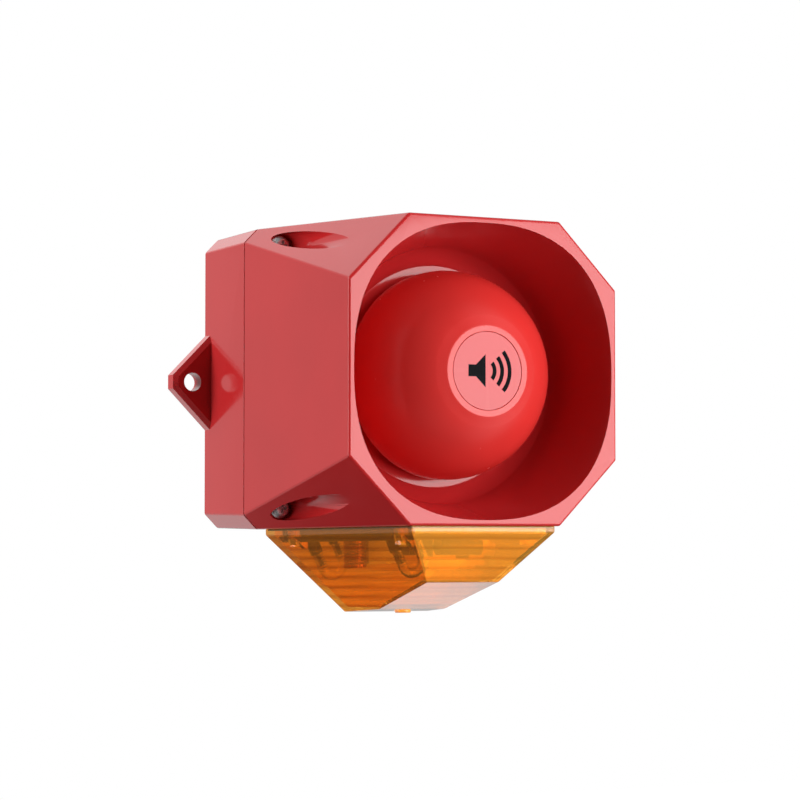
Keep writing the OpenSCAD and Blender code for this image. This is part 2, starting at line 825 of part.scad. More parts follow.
// Plan of the lens flange, set in by the given amount
module lens_plan(inset) {
    f = lens_front_half - inset;
    b = lens_back_half - inset;
    front = lens_front_y + inset;
    back = lens_back_y - inset;
    polygon([[f, front], [b, back], [-b, back], [-f, front]]);
}

module lens_ring(outside, inside) {
    difference() {
        lens_plan(outside);
        lens_plan(inside);
    }
}

module beacon_seal() {
    color([0.1, 0.1, 0.1]) under_housing() translate([0, 0, -0.8]) linear_extrude(0.8) lens_ring(1.0, 2.4);
}

module lens_screws() {
    color([0.75, 0.75, 0.78]) under_housing() translate([0, 0, wall + 2])
        lens_screw_places() pan_screw(1.2, 11, 2.6, 1.9);
}

// The slot in the underside that the beacon's leads pass through
module lead_slot_plan() {
    translate([lead_slot[0], lead_slot[1]]) square([lead_slot[2], lead_slot[3]]);
}

// Plan of the tray, set in from the lens flange by the given amount
module tray_plan(inset) {
    front = 8.4 + inset - tray_inset;
    back = 92.9 - inset + tray_inset;
    f = lens_half(front, 0) - inset;
    b = lens_half(back, 0) - inset;
    polygon([[f, front], [b, back], [-b, back], [-f, front]]);
}

// Shallow black tray that holds the beacon's board against the underside
module beacon_tray() {
    color([0.08, 0.08, 0.08]) under_housing() difference() {
        translate([0, 0, -tray_rim]) linear_extrude(tray_rim) tray_plan(tray_inset);
        translate([0, 0, -tray_rim - 1]) linear_extrude(tray_rim - tray_plate + 1)
            tray_plan(tray_inset + 1.6);
        translate([0, 0, -tray_rim - 1]) lens_screw_places() cylinder(r = 5, h = tray_rim + 2);
        translate([0, 0, -tray_plate - 1]) tray_screw_places() cylinder(r = 1.4, h = tray_plate + 2);
        translate([0, 0, -tray_plate - 1]) linear_extrude(tray_plate + 2) lead_slot_plan();
    }
}

module beacon_board() {
    color([0.1, 0.42, 0.2]) under_housing() translate([0, 0, parts_z]) difference() {
        linear_extrude(board_thick) polygon([[24, 26], [44, 90.5], [-44, 90.5], [-24, 26]]);
        translate([0, 0, -1]) tray_screw_places() cylinder(r = 1.4, h = board_thick + 2);
    }
}

module beacon_board_screws() {
    color([0.75, 0.75, 0.78]) under_housing() translate([0, 0, parts_z]) mirror([0, 0, 1])
        tray_screw_places() pan_screw(1.05, -parts_z + wall + 1.5, 2.2, 1.6);
}

// Puts its children at each flash tube, leaning over, with z along the tube and 0 on the board
module at_tubes() {
    for (p = tube_places) translate([p[0], p[1], parts_z]) rotate([0, -tube_tilt, 0]) children();
}

// A flash tube is a hairpin: two legs joined by a bend
module flash_tubes() {
    color([0.95, 0.95, 0.98, 0.5]) under_housing() at_tubes() translate([0, 0, -tube_length]) {
        for (s = [-1, 1]) translate([s * tube_bend_r, 0, 0])
            cylinder(r = tube_r, h = tube_length - socket_length, $fn = 24);
        rotate([90, 0, 0]) rotate([0, 0, 180]) rotate_extrude(angle = 180)
            translate([tube_bend_r, 0]) circle(r = tube_r, $fn = 24);
    }
}

// Sockets are cut off level against the board
module flash_tube_sockets() {
    color([0.25, 0.2, 0.18]) under_housing() difference() {
        at_tubes() for (s = [-1, 1]) translate([s * tube_bend_r, 0, -socket_length])
            cylinder(r = tube_r + 0.8, h = socket_length + 6, $fn = 24);
        translate([-60, 0, parts_z]) cube([120, 100, 20]);
    }
}

module flash_capacitor() {
    color([0.1, 0.1, 0.3]) under_housing() translate([10, 62, parts_z - flash_cap_r])
        rotate([0, 90, 0]) cylinder(r = flash_cap_r, h = 22);
}

module film_capacitor() {
    color([0.9, 0.88, 0.82]) under_housing() translate([-19, 72, parts_z - film_cap[2]]) cube(film_cap);
}

// Bobbin with flanges and its winding, as one wound part
module trigger_coil() {
    color([0.5, 0.3, 0.15]) under_housing() translate([-26, 72, parts_z - coil_form_h]) difference() {
        cylinder(r = coil_form_r, h = coil_form_h);
        for (z = [1.6:1.4:10]) translate([0, 0, z]) difference() {
            cylinder(r = 7, h = 0.5);
            translate([0, 0, -1]) cylinder(r = 4.8, h = 3);
        }
    }
}

module beacon_inductors() {
    color([0.3, 0.28, 0.25]) under_housing() translate([0, 0, parts_z]) mirror([0, 0, 1]) {
        translate([33, 79, 0]) cylinder(r = 3.2, h = 10);
        translate([22, 76, 0]) cylinder(r = 2.6, h = 8);
        translate([3, 73, 0]) cube([11, 9, 9]);
    }
}

// A lead that rises from its foot, bends towards the wall and runs on
module bent_lead(rise, bend, run) {
    cylinder(r = lead_r, h = rise, $fn = 16);
    translate([0, bend, rise]) rotate([90, 0, -90]) rotate_extrude(angle = 90) translate([bend, 0])
        circle(r = lead_r, $fn = 16);
    translate([0, bend, rise + bend]) rotate([-90, 0, 0]) cylinder(r = lead_r, h = run, $fn = 16);
}

// Leads from the sounder board down through the slot to the beacon's board
module beacon_leads() {
    bend = 4;
    foot = -front_half - (front_depth - lead_depth) * tan(underside_tilt) - tray_plate;
    color([0.8, 0.1, 0.1]) for (x = [-3, 0, 3]) translate([x, -lead_depth, foot])
        bent_lead(20 + x, bend, lead_depth - bend - board_front);
}

// ---------------------------------------------------------------- nodes

back_box();
box_seal();
thread_inserts();
blanking_plug();
blanking_plug_nut();
blanking_plug_seal();
front_housing();
horn_flare();
cover_screws();
cover_screw_washers();
cover_screw_o_rings();
horn_dome();
dome_badge();
dome_screws();
throat_tube();
driver_front_plate();
driver_spacer_ring();
driver_diaphragm();
voice_coil();
driver_top_plate();
driver_magnet();
driver_back_plate();
driver_cover();
driver_screws();
driver_leads();
sounder_board();
board_screws();
terminal_block();
terminal_screws();
tone_switch_body();
tone_lever(0);  // tone_lever_1
tone_lever(1);  // tone_lever_2
tone_lever(2);  // tone_lever_3
tone_lever(3);  // tone_lever_4
tone_lever(4);  // tone_lever_5
volume_trimmer_body();
volume_rotor();
capacitors();
transformer_core();
transformer_winding();
logic_chips();
beacon_lens();
beacon_seal();
beacon_tray();
lens_screws();
beacon_board();
beacon_board_screws();
flash_tubes();
flash_tube_sockets();
flash_capacitor();
film_capacitor();
trigger_coil();
beacon_inductors();
beacon_leads();
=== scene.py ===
import json
import math

import bmesh
import bpy
from mathutils import Matrix, Vector


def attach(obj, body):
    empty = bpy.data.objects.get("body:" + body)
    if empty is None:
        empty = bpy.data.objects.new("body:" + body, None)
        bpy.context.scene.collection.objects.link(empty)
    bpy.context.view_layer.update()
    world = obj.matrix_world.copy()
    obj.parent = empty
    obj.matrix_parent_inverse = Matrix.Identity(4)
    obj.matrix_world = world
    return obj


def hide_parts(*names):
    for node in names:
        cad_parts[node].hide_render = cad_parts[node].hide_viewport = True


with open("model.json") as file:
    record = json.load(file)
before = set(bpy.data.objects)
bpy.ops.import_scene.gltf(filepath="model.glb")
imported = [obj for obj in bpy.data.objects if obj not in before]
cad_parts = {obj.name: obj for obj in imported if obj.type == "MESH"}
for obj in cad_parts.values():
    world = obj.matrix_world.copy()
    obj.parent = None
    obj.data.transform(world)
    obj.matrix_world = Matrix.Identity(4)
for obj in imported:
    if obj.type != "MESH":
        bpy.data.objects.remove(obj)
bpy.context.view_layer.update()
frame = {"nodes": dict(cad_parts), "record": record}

MM = 0.001
scene = bpy.context.scene
scene.view_settings.view_transform = "Standard"

# ---------------------------------------------------------------- sizes, in mm

# "Depth" is distance out from the wall: a point at depth d lies at y = -d.
# Most sizes are the CAD model's. FLOOR_R is 0.9 smaller, for a tighter corner at the floor of the bowl.
BACK, RIM, FRONT = 0.02, 44.5, 145.0
BOX_DEPTH = 44.0
WALL = 3.0
SEAM_HALF, SEAM_CUT = 68.7, 6.6
FRONT_HALF, FRONT_CUT = 67.5, 29.6
BOX_HALF = 67.9
MOUTH_HALF, MOUTH_POWER = 65.0, 2.42
BOWL_R, BOWL_DEPTH, FLOOR_R = 57.5, 105.0, 49.6
BULKHEAD_FRONT, BULKHEAD_BACK = 98.0, 95.0
FLARE_WALL, FLARE_EASE, FLOOR_FILLET = 2.4, 1.15, 1.6
THROAT_HOLE_R = 13.2
SCREW_XZ, RECESS_R, RECESS_FLOOR, RECESS_WALL = 59.3, 5.5, 61.5, 2.2
SCREW_HOLE_R, SEAM_POCKET_R, SEAM_POCKET = 2.35, 3.9, 2.4
DOME_R, DOME_WIDE, DOME_RIM = 46.8, 109.0, 104.5
CREASE_R, CREASE_DEPTH, FACE_DEPTH, FACE_R = 25.0, 144.4, 146.4, 20.0
CREASE_ANGLE, DOME_WALL, DOME_LEG = 25.0, 2.2, 28.6
LEG_R, LEG_TOP, LEG_MARGIN = 3.3, 140, 1.2
SHOULDER_R, SHOULDER_TURN = 2.2, 21.5
BADGE_R, BADGE_H, BADGE_SUNK = 17.2, 0.8, 0.06
ARC_RADII, ARC_HALF, ARC_TURN, ARC_SHIFT = (5.2, 9.0, 12.8), 0.95, 42, 1.6
SPEAKER = ((-9.6, 2.6), (-5.8, 2.6), (-1.0, 7.2), (-1.0, -7.2), (-5.8, -2.6), (-9.6, -2.6))
BOARD_POST, BOARD_POST_R, BOARD_FRONT = 40.0, 4, 55.0
LUG_TIP, LUG_TIP_HALF, LUG_ROOT, LUG_THICK = 86.8, 3.2, 60.0, 7.5
LUG_STRAIGHT, LUG_CHAMFER, LUG_CHAMFER_INSET = 6, 1.6, 2.2
LUG_HOLE_X, LUG_HOLE_R = 77.5, 4.3
ENTRY_DEPTH, ENTRY_R, BOSS_R, BOSS_FACE_R = 22.0, 10.2, 14.5, 13.8
CORNER_POST_R, INSERT_HOLE_R, TIP_HOLE_R = 6.6, 2.9, 2.4
RIM_WIDTH, GROOVE_OUT, GROOVE_IN = 5.6, 1.75, 4.05
SPARE_XZ, SPARE_R, RING_HALF, RING_DEPTH = 42, 3.2, 0.45, 0.6
LENS_FRONT_HALF, LENS_TAPER, LENS_SLOPE = 36.0, 23.5 / 95.4, 1.03
LENS_FRONT_Y, FLANGE, LENS_RIB = 1.6, 2.7, 4.4
TUBES = [(-34.5, 87.5), (-10.5, 56.0)]
TUBE_TILT, TUBE_R, TUBE_BEND, TUBE_LENGTH, SOCKET = 25.0, 2.1, 5.2, 12.2, 4.4
ELECTRODE_R, WIRE_R, WIRE_PITCH = 0.75, 0.14, 0.075
PARTS_Z = -4.2
UNDERSIDE_TILT = math.atan((SEAM_HALF - FRONT_HALF) / (FRONT - BOX_DEPTH))
BEACON = Matrix.Translation((0, -FRONT * MM, -FRONT_HALF * MM)) @ Matrix.Rotation(-UNDERSIDE_TILT, 4, "X")
INSET_CUT = 2 - math.sqrt(2)


def outer_half(d):
    return SEAM_HALF + (FRONT_HALF - SEAM_HALF) * (d - BOX_DEPTH) / (FRONT - BOX_DEPTH)


def outer_cut(d):
    return SEAM_CUT + (FRONT_CUT - SEAM_CUT) * (d - BOX_DEPTH) / (FRONT - BOX_DEPTH)


# ---------------------------------------------------------------- mesh helpers


def at(x, d, z):
    """A point given in mm by its x, its depth and its z, in metres."""
    return Vector((x * MM, -d * MM, z * MM))


def piece(name, verts, faces):
    """A mesh object with outward normals."""
    bm = bmesh.new()
    made = [bm.verts.new(v) for v in verts]
    for f in faces:
        bm.faces.new([made[i] for i in f])
    bmesh.ops.remove_doubles(bm, verts=bm.verts, dist=1e-7)
    bmesh.ops.recalc_face_normals(bm, faces=bm.faces)
    mesh = bpy.data.meshes.new(name)
    bm.to_mesh(mesh)
    bm.free()
    obj = bpy.data.objects.new(name, mesh)
    scene.collection.objects.link(obj)
    return obj


def loft(name, rings):
    """A closed solid through rings of equally many points."""
    n = len(rings[0])
    verts = [p for ring in rings for p in ring]
    faces = [list(range(n)), [len(verts) - n + i for i in range(n)]]
    for k in range(len(rings) - 1):
        for i in range(n):
            j = (i + 1) % n
            faces.append([k * n + i, k * n + j, (k + 1) * n + j, (k + 1) * n + i])
    return piece(name, verts, faces)


def revolve(name, profile, sides=160):
    """A solid of revolution about the Y axis: profile is a closed line of (radius, depth)."""
    verts, rows = [], []
    for r, d in profile:
        if r < 1e-6:
            rows.append([len(verts)] * sides)
            verts.append(at(0, d, 0))
        else:
            rows.append(list(range(len(verts), len(verts) + sides)))
            for i in range(sides):
                t = 2 * math.pi * i / sides
                verts.append(at(r * math.cos(t), d, r * math.sin(t)))
    faces = []
    for k in range(len(rows)):
        a, b = rows[k], rows[(k + 1) % len(rows)]
        for i in range(sides):
            j = (i + 1) % sides
            f = [a[i], a[j], b[j], b[i]]
            f = [v for q, v in enumerate(f) if v not in f[:q]]
            if len(f) > 2:
                faces.append(f)
    return piece(name, verts, faces)


def settle(obj):
    """Applies the object's modifiers."""
    dg = bpy.context.evaluated_depsgraph_get()
    mesh = bpy.data.meshes.new_from_object(obj.evaluated_get(dg))
    obj.modifiers.clear()
    old = obj.data
    obj.data = mesh
    bpy.data.meshes.remove(old)


def combine(obj, others, how="DIFFERENCE"):
    """Cuts the other solids from obj, or joins them to it, one after another."""
    for other in others:
        m = obj.modifiers.new("combine", "BOOLEAN")
        m.operation = how
        m.solver = "EXACT"
        m.object = other
        settle(obj)
        bpy.data.objects.remove(other)
    return obj


def meet(obj, other):
    """Keeps what the object shares with the other solid, which stays."""
    m = obj.modifiers.new("meet", "BOOLEAN")
    m.operation = "INTERSECT"
    m.solver = "EXACT"
    m.object = other
    settle(obj)


def rounded(obj, width, weights=None, segments=3, angle=30):
    """Rounds edges: by the share that weights gives each one, or all that are sharper than the angle."""
    m = obj.modifiers.new("round", "BEVEL")
    m.width = width * MM
    m.segments = segments
    m.use_clamp_overlap = True
    if weights is None:
        m.limit_method = "ANGLE"
        m.angle_limit = math.radians(angle)
    else:
        m.limit_method = "WEIGHT"
        attribute = obj.data.attributes.new("bevel_weight_edge", "FLOAT", "EDGE")
        for e in obj.data.edges:
            a, b = (obj.data.vertices[i].co for i in e.vertices)
            attribute.data[e.index].value = weights(a, b)
    settle(obj)


def smooth(obj, angle=30):
    """Smooth shading that keeps broad flat faces flat."""
    for p in obj.data.polygons:
        p.use_smooth = True
    obj.data.set_sharp_from_angle(angle=math.radians(angle))
    m = obj.modifiers.new("flat_faces", "WEIGHTED_NORMAL")
    m.keep_sharp = True
    m.weight = 80


def circle(r, sides=48):
    turns = [2 * math.pi * i / sides for i in range(sides)]
    return [(r * math.cos(t), r * math.sin(t)) for t in turns]


def post(x, z, r, d1, d2, sides=48):
    """A round solid along Y between two depths."""
    return loft("post", [[at(x + p, d, z + q) for p, q in circle(r, sides)] for d in (d1, d2)])


def upright(x, y, r, z1, z2, place=None, sides=48):
    """A round solid along Z, in the frame of the given matrix."""
    place = place or Matrix.Identity(4)
    return loft("upright", [
        [place @ Vector(((x + p) * MM, (y + q) * MM, z * MM)) for p, q in circle(r, sides)]
        for z in (z1, z2)])


def corners(v):
    return [(x, z) for x in (-v, v) for z in (-v, v)]


def octagon(half, cut):
    return [(half - cut, half), (half, half - cut), (half, cut - half), (half - cut, -half),
            (cut - half, -half), (-half, cut - half), (-half, half - cut), (cut - half, half)]


def octagon_loft(name, d1, half1, cut1, d2, half2, cut2):
    return loft(name, [
        [at(x, d1, z) for x, z in octagon(half1, cut1)],
        [at(x, d2, z) for x, z in octagon(half2, cut2)]])


def octagon_prism(name, d1, d2, half, cut):
    return octagon_loft(name, d1, half, cut, d2, half, cut)


def squircle(a, n, sides):
    """A rounded square of half width a; n is 2 for a circle, and more is squarer."""
    points = []
    for i in range(sides):
        t = 2 * math.pi * i / sides
        c, s = math.cos(t), math.sin(t)
        x = a * math.copysign(abs(c) ** (2 / n), c)
        z = a * math.copysign(abs(s) ** (2 / n), s)
        points.append((x, z))
    return points


def sweep(name, path, r, sides=16):
    """A round rod along a line of points in metres."""
    rings = []
    normal = None
    for i, p in enumerate(path):
        a, b = path[max(i - 1, 0)], path[min(i + 1, len(path) - 1)]
        t = (b - a).normalized()
        if normal is None:
            normal = t.orthogonal().normalized()
        normal = (normal - t * normal.dot(t)).normalized()
        side = t.cross(normal)
        rings.append([p + (normal * x + side * y) * MM for x, y in circle(r, sides)])
    return loft(name, rings)


# ---------------------------------------------------------------- materials


def shader(name):
    m = bpy.data.materials.new(name)
    m.use_nodes = True
    return m, m.node_tree.nodes, m.node_tree.links, m.node_tree.nodes["Principled BSDF"]


def noise(nodes, links, scale, detail=3.0, distortion=0.0, stretch=None):
    """A noise texture in the object's own coordinates; scale is per metre."""
    coord = nodes.new("ShaderNodeTexCoord")
    tex = nodes.new("ShaderNodeTexNoise")
    tex.inputs["Scale"].default_value = scale
    tex.inputs["Detail"].default_value = detail
    tex.inputs["Distortion"].default_value = distortion
    if stretch:
        mapping = nodes.new("ShaderNodeMapping")
        mapping.inputs["Scale"].default_value = stretch
        links.new(coord.outputs["Object"], mapping.inputs["Vector"])
        links.new(mapping.outputs["Vector"], tex.inputs["Vector"])
    else:
        links.new(coord.outputs["Object"], tex.inputs["Vector"])
    return tex.outputs["Fac"]


def spread(nodes, links, value, low, high, start=0.3, end=0.7):
    """Maps a noise value to a range."""
    r = nodes.new("ShaderNodeMapRange")
    r.inputs["From Min"].default_value = start
    r.inputs["From Max"].default_value = end
    r.inputs["To Min"].default_value = low
    r.inputs["To Max"].default_value = high
    links.new(value, r.inputs["Value"])
    return r.outputs["Result"]


def tint(nodes, links, value, low, high, start=0.3, end=0.7):
    """Maps a value to a colour between two."""
    ramp = nodes.new("ShaderNodeValToRGB")
    ramp.color_ramp.elements[0].position = start
    ramp.color_ramp.elements[1].position = end
    ramp.color_ramp.elements[0].color = (*low, 1)
    ramp.color_ramp.elements[1].color = (*high, 1)
    links.new(value, ramp.inputs["Fac"])
    return ramp.outputs["Color"]


def bump(nodes, links, bsdf, value, depth, under=None):
    """Relief from a value, its depth in mm, on top of an earlier normal if one is given."""
    b = nodes.new("ShaderNodeBump")
    b.inputs["Strength"].default_value = 1.0
    b.inputs["Distance"].default_value = depth * MM
    links.new(value, b.inputs["Height"])
    if under is not None:
        links.new(under, b.inputs["Normal"])
    links.new(b.outputs["Normal"], bsdf.inputs["Normal"])
    return b.outputs["Normal"]


def finish(name, colour, roughness, grain=700, depth=0.004, vary=0.08, metallic=0.0, shine=0.5):
    """A moulded, cast or turned surface with a fine grain, whose colour and roughness drift a little."""
    m, nodes, links, bsdf = shader(name)
    bsdf.inputs["Metallic"].default_value = metallic
    bsdf.inputs["IOR"].default_value = 1.5
    bsdf.inputs["Specular IOR Level"].default_value = shine
    drift = noise(nodes, links, 45, 4)
    fine = noise(nodes, links, grain, 4)
    low = tuple(c * (1 - vary) for c in colour)
    high = tuple(min(1, c * (1 + vary)) for c in colour)
    links.new(tint(nodes, links, drift, low, high), bsdf.inputs["Base Color"])
    links.new(spread(nodes, links, fine, roughness * 0.8, roughness * 1.25), bsdf.inputs["Roughness"])
    bump(nodes, links, bsdf, fine, depth)
    return m


def gloss_red(name, colour, roughness):
    """Glossy red moulding: faint orange peel, hairline scuffs and slightly worn, paler edges."""
    m, nodes, links, bsdf = shader(name)
    bsdf.inputs["IOR"].default_value = 1.5
    drift = noise(nodes, links, 22, 3)
    low = tuple(c * 0.96 for c in colour)
    high = tuple(c * 1.04 for c in colour)
    base = tint(nodes, links, drift, low, high)
    geometry = nodes.new("ShaderNodeNewGeometry")
    worn = spread(nodes, links, geometry.outputs["Pointiness"], 0.0, 0.16, 0.53, 0.60)
    mix = nodes.new("ShaderNodeMix")
    mix.data_type = "RGBA"
    links.new(worn, mix.inputs["Factor"])
    links.new(base, mix.inputs["A"])
    mix.inputs["B"].default_value = (min(1, colour[0] * 1.12), colour[1] + 0.03, colour[2] + 0.03, 1)
    links.new(mix.outputs["Result"], bsdf.inputs["Base Color"])
    scuffs = noise(nodes, links, 120, 8, 1.5)
    rough = spread(nodes, links, scuffs, roughness * 0.92, roughness * 1.15, 0.35, 0.75)
    links.new(rough, bsdf.inputs["Roughness"])
    fine = noise(nodes, links, 1400, 2)
    peel = noise(nodes, links, 150, 2)
    normal = bump(nodes, links, bsdf, fine, 0.0015)
    bump(nodes, links, bsdf, peel, 0.010, under=normal)
    return m


def zinc(name, colour, roughness, metallic=1.0):
    """Bright plated steel with turning marks and small stains."""
    m, nodes, links, bsdf = shader(name)
    bsdf.inputs["Metallic"].default_value = metallic
    stains = noise(nodes, links, 500, 5)
    stained = tuple(c * 0.72 for c in colour)
    links.new(tint(nodes, links, stains, stained, colour, 0.35, 0.6), bsdf.inputs["Base Color"])
    marks = noise(nodes, links, 2600, 3, stretch=(1, 6, 1))
    links.new(spread(nodes, links, marks, roughness * 0.7, roughness * 1.5), bsdf.inputs["Roughness"])
    bump(nodes, links, bsdf, marks, 0.006)
    return m


def board_green(name):
    """Solder mask over copper tracks."""
    m, nodes, links, bsdf = shader(name)
    coord = nodes.new("ShaderNodeTexCoord")
    mapping = nodes.new("ShaderNodeMapping")
    mapping.inputs["Rotation"].default_value = (math.radians(90), 0, 0)
    links.new(coord.outputs["Object"], mapping.inputs["Vector"])
    tracks = nodes.new("ShaderNodeTexBrick")
    tracks.inputs["Scale"].default_value = 60
    tracks.inputs["Mortar Size"].default_value = 0.06
    tracks.inputs["Brick Width"].default_value = 0.9
    tracks.inputs["Row Height"].default_value = 0.16
    links.new(mapping.outputs["Vector"], tracks.inputs["Vector"])
    cells = noise(nodes, links, 60, 2)
    mask = nodes.new("ShaderNodeMath")
    mask.operation = "MULTIPLY"
    links.new(tracks.outputs["Fac"], mask.inputs[0])
    links.new(spread(nodes, links, cells, 0, 1, 0.42, 0.5), mask.inputs[1])
    colour = tint(nodes, links, mask.outputs["Value"], (0.012, 0.13, 0.045), (0.05, 0.30, 0.12), 0.2, 0.8)
    links.new(colour, bsdf.inputs["Base Color"])
    links.new(spread(nodes, links, noise(nodes, links, 300, 3), 0.28, 0.5), bsdf.inputs["Roughness"])
    bump(nodes, links, bsdf, mask.outputs["Value"], 0.03)
    return m


def through_for_lamps(m, nodes, links, bsdf, colour):
    """Lets lamp light pass a clear piece, tinted, so that what is inside it is lit."""
    output = nodes["Material Output"]
    path = nodes.new("ShaderNodeLightPath")
    clear = nodes.new("ShaderNodeBsdfTransparent")
    clear.inputs["Color"].default_value = (*colour, 1)
    mix = nodes.new("ShaderNodeMixShader")
    links.new(path.outputs["Is Shadow Ray"], mix.inputs[0])
    links.new(bsdf.outputs["BSDF"], mix.inputs[1])
    links.new(clear.outputs["BSDF"], mix.inputs[2])
    links.new(mix.outputs["Shader"], output.inputs["Surface"])
    return m


# Found values that a wave texture's scale is divided by for one band per pitch
RIB_BANDS, WIRE_BANDS = 3.18, 3.2


def amber(name):
    """Clear amber polycarbonate: polished, milky, with painted shade in dark bands along the ribs, painted
    shade on the faces turned to the side, and a painted glow that is strongest on the faces turned to the
    front.
    """
    m, nodes, links, bsdf = shader(name)
    bsdf.inputs["IOR"].default_value = 1.22
    bsdf.inputs["Coat Weight"].default_value = 0.8
    bsdf.inputs["Coat IOR"].default_value = 1.5
    bsdf.inputs["Coat Roughness"].default_value = 0.04
    flow = noise(nodes, links, 60, 3)
    coord = nodes.new("ShaderNodeTexCoord")
    ribs = nodes.new("ShaderNodeTexWave")
    ribs.bands_direction = "Z"
    ribs.inputs["Scale"].default_value = 1 / (LENS_RIB * MM) / RIB_BANDS
    ribs.inputs["Distortion"].default_value = 0.8
    ribs.inputs["Detail Scale"].default_value = 0.5
    links.new(coord.outputs["Object"], ribs.inputs["Vector"])
    # Painted shade: dark brown bands at the rib pitch darken the base colour, for the dark things seen
    # through the ribs.
    mix = nodes.new("ShaderNodeMix")
    mix.data_type = "RGBA"
    links.new(spread(nodes, links, ribs.outputs["Fac"], 0.0, 0.6, 0.72, 0.97), mix.inputs["Factor"])
    links.new(tint(nodes, links, flow, (1.0, 0.46, 0.07), (1.0, 0.53, 0.10)), mix.inputs["A"])
    mix.inputs["B"].default_value = (0.50, 0.15, 0.02, 1)
    links.new(spread(nodes, links, flow, 0.80, 0.86), bsdf.inputs["Transmission Weight"])
    shape = nodes.new("ShaderNodeNewGeometry")
    parts = nodes.new("ShaderNodeSeparateXYZ")
    links.new(shape.outputs["True Normal"], parts.inputs["Vector"])
    aside = spread(nodes, links, parts.outputs["Y"], 0.0, 1.0, -0.65, -0.4)
    # Painted shade: faces turned to the side get a darker base colour.
    side_shade = nodes.new("ShaderNodeMix")
    side_shade.data_type = "RGBA"
    side_shade.blend_type = "MULTIPLY"
    side_shade.inputs["Factor"].default_value = 1.0
    links.new(mix.outputs["Result"], side_shade.inputs["A"])
    links.new(tint(nodes, links, aside, (1, 1, 1), (0.82, 0.76, 0.62), 0, 1), side_shade.inputs["B"])
    links.new(side_shade.outputs["Result"], bsdf.inputs["Base Color"])
    # Painted glow: the lens emits light though it is no lamp, most on the faces turned to the front and
    # little on those turned to the side.
    links.new(tint(nodes, links, aside, (1.0, 0.47, 0.06), (1.0, 0.30, 0.02), 0, 1),
              bsdf.inputs["Emission Color"])
    links.new(spread(nodes, links, aside, 0.19, 0.015, 0, 1), bsdf.inputs["Emission Strength"])
    links.new(spread(nodes, links, noise(nodes, links, 400, 3), 0.02, 0.06), bsdf.inputs["Roughness"])
    bump(nodes, links, bsdf, flow, 0.02)
    return through_for_lamps(m, nodes, links, bsdf, (1.0, 0.72, 0.30))


def clear_glass(name, colour, roughness):
    m, nodes, links, bsdf = shader(name)
    bsdf.inputs["Transmission Weight"].default_value = 1.0
    bsdf.inputs["IOR"].default_value = 1.46
    low = tuple(c * 0.95 for c in colour)
    links.new(tint(nodes, links, noise(nodes, links, 200, 2), low, colour), bsdf.inputs["Base Color"])
    smears = noise(nodes, links, 900, 2)
    links.new(spread(nodes, links, smears, roughness, roughness * 4), bsdf.inputs["Roughness"])
    return through_for_lamps(m, nodes, links, bsdf, (0.95, 0.95, 0.95))


def wound(name, colour, pitch, axis):
    """Fine wire laid side by side, its turns running across the given axis, with painted shade in the
    grooves between the turns.
    """
    m, nodes, links, bsdf = shader(name)
    bsdf.inputs["Metallic"].default_value = 0.8
    coord = nodes.new("ShaderNodeTexCoord")
    wave = nodes.new("ShaderNodeTexWave")
    wave.bands_direction = axis
    wave.inputs["Scale"].default_value = 1 / (pitch * MM) / WIRE_BANDS
    wave.inputs["Distortion"].default_value = 0.4
    links.new(coord.outputs["Object"], wave.inputs["Vector"])
    # Painted shade: the grooves between the turns are darker than the wire.
    groove_shade = tuple(c * 0.45 for c in colour)
    links.new(tint(nodes, links, wave.outputs["Fac"], groove_shade, colour, 0.1, 0.8), bsdf.inputs["Base Color"])
    links.new(spread(nodes, links, noise(nodes, links, 500, 3), 0.25, 0.45), bsdf.inputs["Roughness"])
    bump(nodes, links, bsdf, wave.outputs["Fac"], 0.08)
    return m


